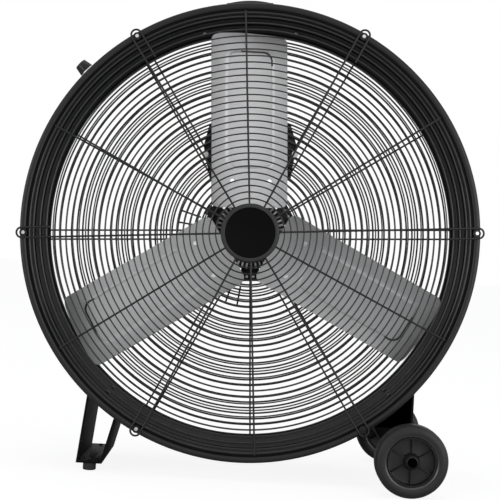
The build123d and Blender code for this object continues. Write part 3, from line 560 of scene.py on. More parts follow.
def soft_copy(
    node: str,
    finish: str,
    width: float,
    move: Callable[[np.ndarray], np.ndarray] | None = None,
    cuts: Iterable[tuple[Vector, Vector]] = (),
) -> bpy.types.Object:
    """Copy a CAD node with softened edges and, if asked, with its points moved.

    Args:
        node: The CAD node.
        finish: Name of its finish.
        width: Width of the bevel.
        move: Takes the points and returns them moved.
        cuts: Planes (point, normal) along which faces are cut before the move.

    Returns:
        The object.
    """
    mesh = frame["nodes"][node].data.copy()
    mesh.name = f"{node}_soft"
    mesh.materials.clear()
    mesh.materials.append(PALETTE[finish])
    mesh.polygons.foreach_set("material_index", [0] * len(mesh.polygons))
    piece = add_object(mesh.name, mesh)
    work = bmesh.new()
    work.from_mesh(mesh)
    bmesh.ops.remove_doubles(work, verts=work.verts, dist=NEAR)
    bmesh.ops.dissolve_limit(
        work,
        angle_limit=math.radians(FLAT),
        verts=work.verts,
        edges=work.edges,
        delimit={"NORMAL"},
    )
    for point, normal in cuts:
        everything = [*work.verts, *work.edges, *work.faces]
        bmesh.ops.bisect_plane(work, geom=everything, plane_co=point, plane_no=normal, dist=NEAR)
    work.to_mesh(mesh)
    work.free()
    if move:
        move_points(mesh, move)
    bevel = piece.modifiers.new("soft_edges", "BEVEL")
    bevel.width = width
    bevel.segments = SOFT_STEPS
    bevel.limit_method = "ANGLE"
    bevel.angle_limit = math.radians(SOFTENED)
    bevel.harden_normals = False
    settle(piece)
    shade_by_angle(piece, SHARP)
    return piece


def settle(piece: bpy.types.Object) -> None:
    """Turn a piece's modifiers into plain mesh.

    Args:
        piece: The piece.
    """
    seen = bpy.context.evaluated_depsgraph_get()
    mesh = bpy.data.meshes.new_from_object(piece.evaluated_get(seen))
    piece.modifiers.clear()
    piece.data = mesh


def shade_by_angle(piece: bpy.types.Object, degrees: float) -> None:
    """Shade a piece smooth, with sharp edges where it turns more than an angle."""
    piece.data.polygons.foreach_set("use_smooth", [True] * len(piece.data.polygons))
    piece.data.set_sharp_from_angle(angle=math.radians(degrees))


def joined(name: str, pieces: Sequence[bpy.types.Object]) -> bpy.types.Object:
    """Join pieces into the first of them, under a new name.

    Args:
        name: The new name.
        pieces: The pieces.

    Returns:
        The joined piece.
    """
    with bpy.context.temp_override(
        active_object=pieces[0], selected_editable_objects=list(pieces)
    ):
        bpy.ops.object.join()
    pieces[0].name = pieces[0].data.name = name
    return pieces[0]


# ---------------------------------------------------------------- geometry nodes
class GeoTree(Tree):
    """A Geometry Nodes tree that makes what repeats."""

    def __init__(self, name: str) -> None:
        """Start a tree with one geometry output.

        Args:
            name: Name of the tree and of the piece that it makes.
        """
        super().__init__(bpy.data.node_groups.new(name, "GeometryNodeTree"))
        self.tree.interface.new_socket(
            "Geometry", in_out="OUTPUT", socket_type="NodeSocketGeometry"
        )
        self.name = name
        self.values: dict[str, object] = {}

    def input(self, name: str, value: object) -> Sock:
        """Add a named input.

        Args:
            name: The input's name.
            value: What it is set to: a float, an int or an object.

        Returns:
            The output that gives it.
        """
        kind = {float: "NodeSocketFloat", int: "NodeSocketInt"}.get(
            type(value), "NodeSocketObject"
        )
        made = self.tree.interface.new_socket(name, in_out="INPUT", socket_type=kind)
        self.values[made.identifier] = value
        return self.node("NodeGroupInput", {}, {}, name)

    def shape_of(self, name: str, source: bpy.types.Object) -> Sock:
        """Return the geometry of an object that is a named input."""
        given = self.input(name, source)
        return self.node("GeometryNodeObjectInfo", {}, {"Object": given}, "Geometry")

    def moved(self, geometry: Sock, place: "Sock | Point3", turn: Point3 = (0, 0, 0)) -> Sock:
        """Return a geometry that is turned and then moved to a place."""
        values = {"Geometry": geometry, "Translation": place, "Rotation": turn}
        return self.node("GeometryNodeTransform", {}, values)

    def copies(self, shape: Sock, number: Sock, values: dict[str, Sock]) -> Sock:
        """Return copies of a shape at the origin, with given values for the instances.

        Args:
            shape: The shape.
            number: How many copies.
            values: What sets the copies' turn or scale.

        Returns:
            The copies.
        """
        points = self.node(
            "GeometryNodeMeshLine", {}, {"Count": number, "Offset": (0, 0, 0)}
        )
        given = {"Points": points, "Instance": shape, **values}
        return self.node("GeometryNodeInstanceOnPoints", {}, given)

    def around(self, shape: Sock, number: Sock, start: Sock) -> Sock:
        """Repeat a shape about the Y axis.

        Args:
            shape: The shape, as it is at angle 0.
            number: How many copies.
            start: Angle of the first, in radians.

        Returns:
            The copies.
        """
        index = self.node("GeometryNodeInputIndex", {}, {})
        angle = index * (-2 * math.pi / number) - start
        rotation = self.node("ShaderNodeCombineXYZ", {}, {1: angle})
        return self.copies(shape, number, {"Rotation": rotation})

    def wire(self, curves: Sock, radius: Sock, sides: int) -> Sock:
        """Give curves a round section, shaded smooth.

        Args:
            curves: The curves.
            radius: The wire's radius.
            sides: Sides of the section.

        Returns:
            The wires' mesh.
        """
        real = self.node("GeometryNodeRealizeInstances", {}, {"Geometry": curves})
        even = self.node("GeometryNodeSetCurveRadius", {}, {"Curve": real, "Radius": 1.0})
        section = self.node(
            "GeometryNodeCurvePrimitiveCircle",
            {"mode": "RADIUS"},
            {"Resolution": sides, "Radius": radius},
        )
        wire = self.node(
            "GeometryNodeCurveToMesh",
            {},
            {"Curve": even, "Profile Curve": section, "Fill Caps": True},
        )
        return self.node("GeometryNodeSetShadeSmooth", {}, {0: wire, "Shade Smooth": True})

    def bake(self, geometry: Sock, finish: str) -> bpy.types.Object:
        """End the tree with Realize Instances and Set Material, and run it.

        Args:
            geometry: What the tree makes.
            finish: Name of its finish.

        Returns:
            A plain mesh object at the origin.
        """
        real = self.node("GeometryNodeRealizeInstances", {}, {"Geometry": geometry})
        values = {"Geometry": real, "Material": PALETTE[finish]}
        dressed = self.node("GeometryNodeSetMaterial", {}, values)
        self.add("NodeGroupOutput", {}, {0: dressed})
        piece = add_object(self.name, bpy.data.meshes.new(self.name))
        modifier = piece.modifiers.new(self.name, "NODES")
        modifier.node_group = self.tree
        for identifier, value in self.values.items():
            modifier[identifier] = value
        settle(piece)
        piece.data.name = self.name
        if not piece.data.materials:
            piece.data.materials.append(PALETTE[finish])
        return piece


def polar_set(
    name: str,
    source: bpy.types.Object,
    count: int,
    turn: float,
    radius: float,
    center: Point3,
    finish: str,
) -> bpy.types.Object:
    """Repeat a mesh round an axis along Y and remove its source.

    Args:
        name: The piece's name.
        source: The mesh object, about the origin.
        count: Number of copies.
        turn: Angle of the first, in radians.
        radius: How far the copies are moved out from the axis.
        center: The point of the axis that stands for the origin.
        finish: Name of the finish.

    Returns:
        The object.
    """
    tree = GeoTree(name)
    shape = tree.shape_of("Part", source)
    number, start = tree.input("Copies", count), tree.input("First angle", turn)
    out = tree.node("ShaderNodeCombineXYZ", {}, {0: tree.input("Radius", radius)})
    ring = tree.around(tree.moved(shape, out), number, start)
    piece = tree.bake(tree.moved(ring, center), finish)
    bpy.data.objects.remove(source)
    return piece


# ---------------------------------------------------------------- sub-assemblies
class Side(StrEnum):
    """The end of the fan at which a guard or a wheel is, as the pieces' names give it."""

    FRONT = "front"
    REAR = "rear"

    @property
    def outwards(self) -> int:
        """Return which way along Y leads out of the fan there."""
        return -1 if self is Side.FRONT else 1


@dataclass
class Drum:
    """The rolled drum with its two lips, each a shallow roll beside a groove."""

    bore: float = 308.0 * MM
    sheet: float = 1.6 * MM
    lip: float = 320.0 * MM
    half_depth: float = 95.0 * MM
    lip_depth: float = 12.0 * MM
    lip_chamfer: float = 1.8 * MM
    groove_end: float = 311.2 * MM
    groove_depth: float = 3.0 * MM
    groove_chamfer: float = 0.3 * MM
    roll_start: float = 0.4 * MM      # how far the groove's floor ends before the roll
    roll_height: float = 2.4 * MM
    roll_points: int = 17
    beads: tuple[float, ...] = (47.0 * MM, 97.0 * MM, 165.0 * MM)   # from the front
    bead_depth: float = 2.2 * MM
    bead_width: float = 12.0 * MM
    bead_points: int = 13
    inner_start: float = 1.0 * MM     # from a groove's floor to the inner skin's first point
    inner_margin: Point2 = (0.01 * MM, 0.2 * MM)    # by which an inner face may pass the bore and
                                                    # the groove
    segments: int = 288
    sharp: float = 50.0

    def skin(self, radius: float, margin: float) -> list[Point2]:
        """Return one skin of the wall, with its beads as smooth waves.

        Args:
            radius: Radius of the plain wall.
            margin: How far from the drum's ends the skin starts and stops.

        Returns:
            The skin's outline from front to back.
        """
        spots: list[Point2] = [(radius, -self.half_depth + margin)]
        for bead in self.beads:
            for t in np.linspace(-1, 1, self.bead_points):
                dip = self.bead_depth * 0.5 * (1 + math.cos(math.pi * t))
                spots.append((radius - dip, bead - self.half_depth + t * self.bead_width / 2))
        return spots + [(radius, self.half_depth - margin)]

    def lip_section(self) -> list[Point2]:
        """Draw a lip's section.

        Returns:
            Its outline from the bore to the outer skin, as radius and depth from the drum's end.
        """
        middle, half = (self.groove_end + self.lip) / 2, (self.lip - self.groove_end) / 2
        roll = [
            (middle - half * math.cos(t), self.roll_height * (1 - math.sin(t)))
            for t in np.linspace(0, math.pi, self.roll_points)
        ]
        return [
            (self.bore, self.groove_depth - self.groove_chamfer),
            (self.bore + self.groove_chamfer, self.groove_depth),
            (self.groove_end - self.roll_start, self.groove_depth),
            *roll,
            (self.lip, self.lip_depth - self.lip_chamfer),
            (self.lip - self.lip_chamfer, self.lip_depth),
        ]

    def is_inner(self, spot: Point2) -> bool:
        """Tell whether a face's middle lies on the inner skin or in a lip's groove.

        Args:
            spot: The face's middle (radius, y).

        Returns:
            Whether it does.
        """
        past_bore, past_groove = self.inner_margin
        near_end = abs(spot[1]) > self.half_depth - self.lip_depth
        in_groove = near_end and spot[0] < self.groove_end + past_groove
        return spot[0] < self.bore + past_bore or in_groove

    def build(self) -> None:
        """Make the drum."""
        section = self.lip_section()
        front = [(r, d - self.half_depth) for r, d in section]
        rear = [(r, self.half_depth - d) for r, d in reversed(section)]
        outer = self.skin(self.bore + self.sheet, self.lip_depth)
        inner = list(reversed(self.skin(self.bore, self.groove_depth + self.inner_start)))
        piece = lathe(
            "drum_wall",
            front + outer + rear + inner,
            (0.0, AXIS_HEIGHT),
            # the inner skin takes the wall finish, whose darker colour is painted shade
            ["lip", "wall"],
            self.segments,
            lambda spot: int(self.is_inner(spot)),
        )
        shade_by_angle(piece, self.sharp)
        place(piece, "fan_frame", "frame_paint", "drum_shell")


@dataclass
class Guard:
    """One wire guard: rings, hairpins over the lip, single spokes and screws."""

    side: Side
    first_ring: float
    ring_pitch: float
    outer_ring: float
    turn: float                  # of the spokes, in degrees
    hub_end: float
    return_end: float
    centred: bool                # whether a hairpin straddles its radius
    lip_at: float = 95.0 * MM    # how far the drum's lip is from its middle
    rings: int = 29
    ring_wire: float = 1.0 * MM
    ring_points: int = 160
    ring_sides: int = 8
    spoke_wire: float = 1.4 * MM
    spoke_sides: int = 10
    single_end: float = 308.5 * MM
    gap: float = 14.0 * MM
    reach: float = 325.4 * MM
    loop_steps: int = 16
    hairpins: int = 6
    stays: tuple[float, ...] = ()
    stay_ends: Point2 = (81.0 * MM, 114.0 * MM)
    screw_circle: float = 314.9 * MM
    screw_table: tuple[Point2, ...] = (
        (0.0, -8.9), (1.5, -8.9), (1.5, 0.8), (2.8, 0.8), (2.8, 2.7), (2.2, 3.2), (0.0, 3.2),
    )
    washer_table: tuple[Point2, ...] = (
        (2.0, 0.0), (5.5, 0.0), (5.5, 0.4), (5.2, 0.8), (2.0, 0.8),
    )
    head_sides: int = 6
    washer_sides: int = 24
    sharp: float = 30.0

    def at_lip(self, out: float = 0.0) -> Point3:
        """Return the point of the fan axis that lies the given distance out of the lip."""
        return (0.0, self.side.outwards * (self.lip_at + out), AXIS_HEIGHT)

    def hairpin(self) -> list[Point2]:
        """Bend a hairpin at angle 0.

        Returns:
            Its centre line (outwards, around).
        """
        bend = self.gap / 2
        middle = self.reach - bend - self.spoke_wire
        shift = 0.0 if self.centred else -bend
        loop = arc((middle, shift), bend, 90, -90, self.loop_steps)
        return [(self.hub_end, shift + bend)] + loop + [(self.return_end, shift - bend)]

    def ring_wires(self, name: str, first: float, pitch: float, count: int) -> bpy.types.Object:
        """Make concentric wire rings about the fan axis.

        Args:
            name: The piece's name, after the guard's side.
            first: Radius of the innermost ring.
            pitch: Distance from ring to ring.
            count: Number of rings.

        Returns:
            The object.
        """
        tree = GeoTree(f"{self.side}_{name}")
        start, step = tree.input("First radius", first), tree.input("Pitch", pitch)
        number, thick = tree.input("Rings", count), tree.input("Wire radius", self.ring_wire)
        size = start + step * tree.node("GeometryNodeInputIndex", {}, {})
        sizes = tree.node("ShaderNodeCombineXYZ", {}, {0: size, 1: size, 2: size})
        hoop = tree.node(
            "GeometryNodeCurvePrimitiveCircle",
            {"mode": "RADIUS"},
            {"Resolution": self.ring_points, "Radius": 1.0},
        )
        hoops = tree.copies(hoop, number, {"Scale": sizes})
        wires = tree.wire(hoops, thick, self.ring_sides)
        middle = self.at_lip(-self.ring_wire)
        return tree.bake(tree.moved(wires, middle, (math.pi / 2, 0, 0)), "wire")

    def spoke_wires(
        self, name: str, path: Sequence[Point2], count: int, turn: float
    ) -> bpy.types.Object:
        """Repeat one bent wire round the fan axis.

        Args:
            name: The piece's name, after the guard's side.
            path: The wire's centre line (outwards, around) at angle 0.
            count: Number of wires.
            turn: Angle of the first, in radians.

        Returns:
            The object.
        """
        data = bpy.data.curves.new(f"{name}_path", "CURVE")
        data.dimensions = "3D"
        line = data.splines.new("POLY")
        line.points.add(len(path) - 1)
        for spot, (x, z) in zip(line.points, path):
            spot.co = (x, 0.0, z, 1.0)
        curve = add_object(data.name, data)
        tree = GeoTree(f"{self.side}_{name}")
        shape = tree.shape_of("Wire", curve)
        number, start = tree.input("Wires", count), tree.input("First angle", turn)
        thick = tree.input("Wire radius", self.spoke_wire)
        wires = tree.wire(tree.around(shape, number, start), thick, self.spoke_sides)
        # the spokes take the darker copy of the wire paint, as painted shade
        piece = tree.bake(tree.moved(wires, self.at_lip(self.spoke_wire)), "spoke")
        bpy.data.objects.remove(curve)
        return piece

    def build(self) -> None:
        """Make the guard."""
        rings = joined(
            f"{self.side}_guard_ring_wires",
            [
                self.ring_wires("rings", self.first_ring, self.ring_pitch, self.rings),
                self.ring_wires("edge", self.outer_ring, 0.0, 1),
            ],
        )
        place(rings, "fan_frame", "guard_wire", f"{self.side}_guard_rings")
        turn = DRUM_TURN + math.radians(self.turn)
        between = turn + math.pi / self.hairpins
        single = [(self.hub_end, 0.0), (self.single_end, 0.0)]
        stay = [(end, 0.0) for end in self.stay_ends]
        parts = [
            self.spoke_wires("hairpins", self.hairpin(), self.hairpins, turn),
            self.spoke_wires("singles", single, self.hairpins, between),
        ]
        for angle in self.stays:
            parts.append(self.spoke_wires("stay", stay, 1, DRUM_TURN + math.radians(angle)))
        spokes = joined(f"{self.side}_guard_spoke_wires", parts)
        place(spokes, "fan_frame", "guard_wire", f"{self.side}_guard_spokes")
        self.screws(turn)

    def screws(self, turn: float) -> None:
        """Make the screws and washers in the hairpins' loops.

        Args:
            turn: Angle of the first hairpin, in radians.
        """
        shift = 0.0 if self.centred else math.asin(self.gap / 2 / self.screw_circle)
        middle = self.at_lip()
        parts = []
        for part, table, finish, sides in (
            ("heads", self.screw_table, "zinc", self.head_sides),
            ("washers", self.washer_table, "dark_zinc", self.washer_sides),
        ):
            name = f"{self.side}_screw_{part}"
            outline = from_table(table, way=self.side.outwards)
            source = lathe(f"{name}_source", outline, (0.0, 0.0), [finish], sides)
            parts.append(
                polar_set(
                    name, source, self.hairpins, turn - shift, self.screw_circle, middle, finish
                )
            )
        screws = joined(f"{self.side}_guard_screw_set", parts)
        self.blacken(screws)
        shade_by_angle(screws, self.sharp)
        place(screws, "fan_frame", "bright_steel", f"{self.side}_guard_screws")

    @staticmethod
    def blacken(screws: bpy.types.Object) -> None:
        """Give the screw beside the wheel the washers' dark finish.

        Args:
            screws: The guard's screws and washers.
        """
        left, top = 100 * MM, 120 * MM       # of the corner of the drum in which it sits
        dark = next(i for i, m in enumerate(screws.data.materials) if m is PALETTE["dark_zinc"])
        for face in screws.data.polygons:
            if face.center.x > left and face.center.z < top:
                face.material_index = dark


@dataclass
class Badge:
    """The round, bare cap on the middle of the front guard."""

    back: float = -97.8 * MM
    table: tuple[Point2, ...] = (
        (0.0, 0.0), (0.0, 4.4), (35.1, 4.4), (35.1, 6.0), (39.2, 6.0), (40.8, 4.4), (40.8, 0.0),
    )
    face: float = 35.1 * MM
    face_depth: float = 2.0 * MM         # less than the face's distance from the back
    edge: float = 0.5 * MM
    edge_steps: int = 3
    segments: int = 128
    sharp: float = 35.0

    def build(self) -> None:
        """Make the badge."""
        outline = from_table(self.table, self.back, -1)
        skip = self.edge_steps + 1           # the points of one rounded corner
        corners = rounded(outline[1:] + outline[:1], self.edge, self.edge_steps)[skip:-skip]
        piece = lathe(
            "badge_cap",
            outline[:2] + corners + outline[-1:],
            (0.0, AXIS_HEIGHT),
            ["badge_rim", "badge_face"],
            self.segments,
            lambda spot: int(spot[0] < self.face and spot[1] < self.back - self.face_depth),
        )
        shade_by_angle(piece, self.sharp)
        place(piece, "fan_frame", "badge_paint", "badge")


class Look(Enum):
    """What a face of a blade's front skin looks like, by its finish's index."""

    PLAIN = 0
    # painted highlight on the panel's edge ramps
    BURNISHED = 1
    # painted shadow along the crease
    CREASE = 2


@dataclass
class Blades:
    """The three cambered blades, each with a raised panel.

    A blade's points are named by u, their distance from the fan axis along the blade, and t, their
    distance across it as seen from the front.
    """

    root: float = 38.0 * MM
    tip: float = 293.0 * MM
    width: float = 109.5 * MM
    tip_corner: float = 14.0 * MM
    root_corner: float = 10.5 * MM
    corner_rows: int = 12
    pitch: float = 18.0
    chord: float = 117.0 * MM
    camber: float = 9.0 * MM
    sheet: float = 2.0 * MM
    middle: float = -10.0 * MM
    panel: Point3 = (93.5 * MM, 269.5 * MM, 71.5 * MM)    # its start, end and width
    panel_corner: float = 16.0 * MM
    panel_rise: float = 1.8 * MM
    foot_slope: float = 0.35     # of the panel's edge at its foot, as a share of its mean slope
    ramp: float = 5.2 * MM
    tip_roll: float = 9.0 * MM
    tip_roll_reach: float = 62.0 * MM
    tip_roll_skew: float = 0.55
    crease: float = 0.5 * MM     # depth of the dark line round the panel's tip end
    crease_at: Point2 = (0.8, 0.27)             # its middle and half width, in ramps
    crease_fade: Point2 = (215.0 * MM, 30.0 * MM)      # where it starts and gets full depth
    # where the crease's faces get the painted shadow
    crease_shadow_reach: Point2 = (246.0 * MM, 14.0 * MM)      # from which u and up to which t
    # the side blades get the painted highlight on the panel's edge only for t < 0
    half_painted_highlight: tuple[str, ...] = ("blade_left", "blade_right")    # for t < 0 only
    grid: float = 0.85 * MM
    lay_steps: int = 4           # in which a point's place along the chord is found
    sharp: float = 22.0
    names: dict[str, float] = field(
        default_factory=lambda: {"blade_top": 90.0, "blade_left": 210.0, "blade_right": 330.0}
    )

    def half_width(self, u: np.ndarray) -> np.ndarray:
        """Return half the blade's width at each u, with its rounded corners.

        Args:
            u: Distances from the axis.

        Returns:
            The half widths.
        """
        half = np.full_like(u, self.width / 2)
        for near, corner in ((u - self.root, self.root_corner), (self.tip - u, self.tip_corner)):
            inset = np.clip(corner - near, 0, corner)
            half -= corner - np.sqrt(np.maximum(corner**2 - inset**2, 0))
        return half

    def inside(self, u: np.ndarray, t: np.ndarray) -> np.ndarray:
        """Return how far points lie inside the panel's outline, in ramps.

        Args:
            u: Distances from the axis.
            t: Distances across the blade.

        Returns:
            The distances, below 0 outside.
        """
        start, end, width = self.panel
        du = np.abs(u - (start + end) / 2) - (end - start) / 2 + self.panel_corner
        dt = np.abs(t) - width / 2 + self.panel_corner
        beyond = np.hypot(np.maximum(du, 0), np.maximum(dt, 0))
        outside = beyond + np.minimum(np.maximum(du, dt), 0)
        return (self.panel_corner - outside) / self.ramp

    def rise(self, u: np.ndarray, t: np.ndarray) -> np.ndarray:
        """Return how far the skin stands up: the panel up, the trailing tip corner back.

        Args:
            u: Distances from the axis.
            t: Distances across the blade.

        Returns:
            The heights.
        """
        inset = self.inside(u, t)
        share = np.clip(inset, 0, 1)
        panel = self.panel_rise * share * (self.foot_slope + (1 - self.foot_slope) * share)
        middle, half = self.crease_at
        start, fade = self.crease_fade
        line = np.exp(-(((inset - middle) / half) ** 2)) * np.clip((u - start) / fade, 0, 1)
        skew = self.tip_roll_skew
        roll = np.clip((u - self.tip - skew * t) / self.tip_roll_reach + skew, 0, 1)
        return panel - self.crease * line - self.tip_roll * roll * roll

    def stations(self, stops: Sequence[float]) -> np.ndarray:
        """Spread places between stops.

        Args:
            stops: The stops, in order.

        Returns:
            Places about a grid step apart that take in every stop.
        """
        runs = [
            np.linspace(a, b, max(2, round((b - a) / self.grid)), endpoint=False)
            for a, b in zip(stops, stops[1:])
        ]
        return np.concatenate([*runs, [stops[-1]]])

    def spread(self) -> tuple[np.ndarray, np.ndarray]:
        """Fill the blade's outline with a grid of points.

        Returns:
            Their u and their t, each with a row for each step along the blade.
        """
        start, end, width = self.panel
        first, last = self.root + self.root_corner, self.tip - self.tip_corner
        edge = 1 - np.cos(np.linspace(0, math.pi / 2, self.corner_rows + 1))[:-1]
        rows = np.concatenate(
            [
                self.root + self.root_corner * edge,
                self.stations([first, start, start + self.ramp, end - self.ramp, end, last]),
                (self.tip - self.tip_corner * edge)[::-1],
            ]
        )
        outer, inner, side = width / 2, width / 2 - self.ramp, self.width / 2
        across = self.stations([-side, -outer, -inner, inner, outer, side]) / side
        t = np.outer(self.half_width(rows), across)
        u = np.repeat(rows[:, None], len(across), axis=1)
        fade = np.clip((u - last) / self.tip_corner, 0, 1)
        return u + fade * fade * (np.sqrt(self.tip**2 - t**2) - self.tip), t

    def looks(self, u: np.ndarray, t: np.ndarray, painted_highlight_to: float) -> np.ndarray:
        """Choose the look of each face of the front skin.

        Args:
            u: Distances of the grid's points from the axis.
            t: Distances of the grid's points across the blade.
            painted_highlight_to: Up to which t the panel's edge gets the painted highlight.

        Returns:
            The index of each face's finish.
        """
        share = self.inside((u[1:, 1:] + u[:-1, :-1]) / 2, (t[1:, 1:] + t[:-1, :-1]) / 2)
        looks = np.full(share.shape, Look.PLAIN.value)
        u, t = u[1:, 1:], t[1:, 1:]
        # painted highlight on the panel's edge ramps, up to the given t
        looks[(share > 0) & (share < 1) & (t <= painted_highlight_to)] = Look.BURNISHED.value
        middle, half = self.crease_at
        start, side = self.crease_shadow_reach
        # painted shadow along the crease near the tip, up to the given t
        looks[(np.abs(share - middle) < half) & (u > start) & (t < side)] = Look.CREASE.value
        return looks

    @staticmethod
    def faces(rows: int, columns: int) -> list[tuple[int, ...]]:
        """Return the faces of a sheet: its front skin, its back skin and its rim.

        Args:
            rows: Points along a skin.
            columns: Points across a skin.

        Returns:
            The faces, by index among the front skin's and then the back skin's points.
        """
        total = rows * columns
        grid = np.arange(total).reshape(rows, columns)
        corners = (grid[:-1, :-1], grid[:-1, 1:], grid[1:, 1:], grid[1:, :-1])
        front = np.stack(corners, axis=-1).reshape(-1, 4)
        sides = [grid[0], grid[1:, -1], grid[-1, -2::-1], grid[-2:0:-1, 0]]
        rim = np.concatenate(sides).tolist()
        edges = [(b, a, total + a, total + b) for a, b in zip(rim, rim[1:] + rim[:1])]
        return [tuple(f) for f in (*front.tolist(), *(total + front[:, ::-1]).tolist(), *edges)]

    def lay(self, angle: float, u: np.ndarray, t: np.ndarray, back: float) -> np.ndarray:
        """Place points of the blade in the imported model's frame.

        Args:
            angle: The blade's angle about the fan axis, in degrees.
            u: Distances from the axis.
            t: Distances across the blade.
            back: How far behind the front skin.

        Returns:
            The points.
        """
        bend = (self.chord**2 / 4 + self.camber**2) / (2 * self.camber)
        pitch, a = math.radians(self.pitch), math.radians(angle) + DRUM_TURN
        cos_p, sin_p = math.cos(pitch), math.sin(pitch)
        along = t / cos_p
        for _ in range(self.lay_steps):      # t is along, seen at the pitch and with the camber
            height = bend - np.sqrt(bend**2 - along**2)
            along = (t + height * sin_p) / cos_p
        lift = self.rise(u, t) - back
        slope = along / bend
        along = along - lift * slope
        height = bend - np.sqrt(bend**2 - along**2) + lift * np.sqrt(1 - slope**2)
        across = along * cos_p - height * sin_p
        x = u * math.cos(a) - across * math.sin(a)
        y = self.middle - along * sin_p - height * cos_p
        z = AXIS_HEIGHT + u * math.sin(a) + across * math.cos(a)
        return np.stack([x, y, z], axis=-1).reshape(-1, 3)

    def build(self) -> None:
        """Make the three blades."""
        u, t = self.spread()
        faces = self.faces(*u.shape)
        for name, angle in self.names.items():
            looks = self.looks(u, t, 0.0 if name in self.half_painted_highlight else self.width)
            marks = np.zeros(len(faces), int)
            marks[: looks.size] = looks.ravel()
            points = np.concatenate([self.lay(angle, u, t, back) for back in (0.0, self.sheet)])
            finishes = ["blade", "painted_highlight", "crease"]
            piece = new_piece(f"{name}_sheet", points, faces, finishes, marks)
            shade_by_angle(piece, self.sharp)
            place(piece, "fan_rotor", "blade_metal", name)


@dataclass
class Seat:
    """A place on the drum that looks outwards at an angle, for the parts that stand on it."""

    angle: float                 # in degrees, before the drum's turn

    def __post_init__(self) -> None:
        """Work out the directions."""
        a = math.radians(self.angle) + DRUM_TURN
        self.out = np.array([math.cos(a), 0.0, math.sin(a)])
        self.along = np.array([math.sin(a), 0.0, -math.cos(a)])
        self.axis = np.array([0.0, 0.0, AXIS_HEIGHT])

    def height(self, points: np.ndarray) -> np.ndarray:
        """Return points' distances from the fan axis along the seat's direction."""
        return (points - self.axis) @ self.out

    def spot(self, out: float, along: float = 0.0, y: float = 0.0) -> np.ndarray:
        """Return a point by its distance outwards, along the drum and to the back."""
        return self.axis + out * self.out + along * self.along + np.array([0.0, y, 0.0])


@dataclass
class TopParts:
    """The carrying handle, the switch box and the knob's ring."""

    handle: Seat = field(default_factory=lambda: Seat(90.0))
    switch: Seat = field(default_factory=lambda: Seat(135.0))
    crown: float = 3.4 * MM      # of the grip over its ends
    crown_half: float = 30.0 * MM
    crown_drop: float = 2.6 * MM
    crown_cuts: int = 13
    legs: Point2 = (325.0 * MM, 10.0 * MM)      # where the crown starts and how fast it grows
    bar_edge: float = 0.5 * MM
    grip_edge: float = 1.5 * MM
    box_drop: float = 2.6 * MM
    box_shoulder: float = 321.0 * MM
    box_edge: float = 0.6 * MM
    ring_hole: float = 10.6 * MM
    ring_radius: float = 12.3 * MM
    ring_base: float = 336.2 * MM
    ring_height: float = 2.0 * MM
    ring_edge: float = 0.4 * MM
    ring_segments: int = 64
    sharp: float = 50.0

    def crowned(self, points: np.ndarray) -> np.ndarray:
        """Return the handle's points with its grip arched.

        Args:
            points: The points.

        Returns:
            The moved points.
        """
        start, growth = self.legs
        share = np.clip((self.handle.height(points) - start) / growth, 0, 1)
        along = (points - self.handle.axis) @ self.handle.along
        arch = self.crown * np.clip(1 - (along / self.crown_half) ** 2, 0, 1) - self.crown_drop
        return points + np.outer(share * arch, self.handle.out)

    def sunk(self, points: np.ndarray) -> np.ndarray:
        """Return the switch box's points with its upper part let in."""
        upper = self.switch.height(points) > self.box_shoulder
        return points - np.outer(upper * self.box_drop, self.switch.out)

    def stood(self, points: np.ndarray) -> np.ndarray:
        """Return the ring's points turned from the lathe's axis to the switch box.

        Args:
            points: The points.

        Returns:
            The moved points.
        """
        x, out, y = points.T
        middle = self.switch.spot(self.ring_base + self.ring_height / 2)
        turned = middle + np.outer(x, self.switch.along) + np.outer(out, self.switch.out)
        return turned + np.outer(y, [0.0, 1.0, 0.0])

    def build(self) -> None:
        """Make the parts."""
        cuts = [
            (Vector(self.handle.spot(self.legs[0], along)), Vector(self.handle.along))
            for along in np.linspace(-self.crown_half, self.crown_half, self.crown_cuts)
        ]
        bar = soft_copy("handle_bar", "bracket", self.bar_edge, self.crowned, cuts)
        place(bar, "fan_frame", "frame_paint", "handle_bar")
        grip = soft_copy("handle_grip", "rubber", self.grip_edge, self.crowned, cuts)
        place(grip, "fan_frame", "rubber", "handle_grip")
        for node in ("switch_box", "switch_lid"):
            part = soft_copy(node, "plastic", self.box_edge, self.sunk)
            place(part, "fan_frame", "box_plastic", node)
        self.knob_ring()

    def knob_ring(self) -> None:
        """Make the bright ring round the knob's skirt."""
        inner, outer, half = self.ring_hole, self.ring_radius, self.ring_height / 2
        corners = [(inner, -half), (outer, -half), (outer, half), (inner, half)]
        outline = rounded(corners, self.ring_edge)
        ring = lathe("knob_ring", outline, (0.0, 0.0), ["zinc"], self.ring_segments)
        move_points(ring.data, self.stood)
        turn_outwards(ring.data)
        shade_by_angle(ring, self.sharp)
        place(ring, "knob", "bright_steel")


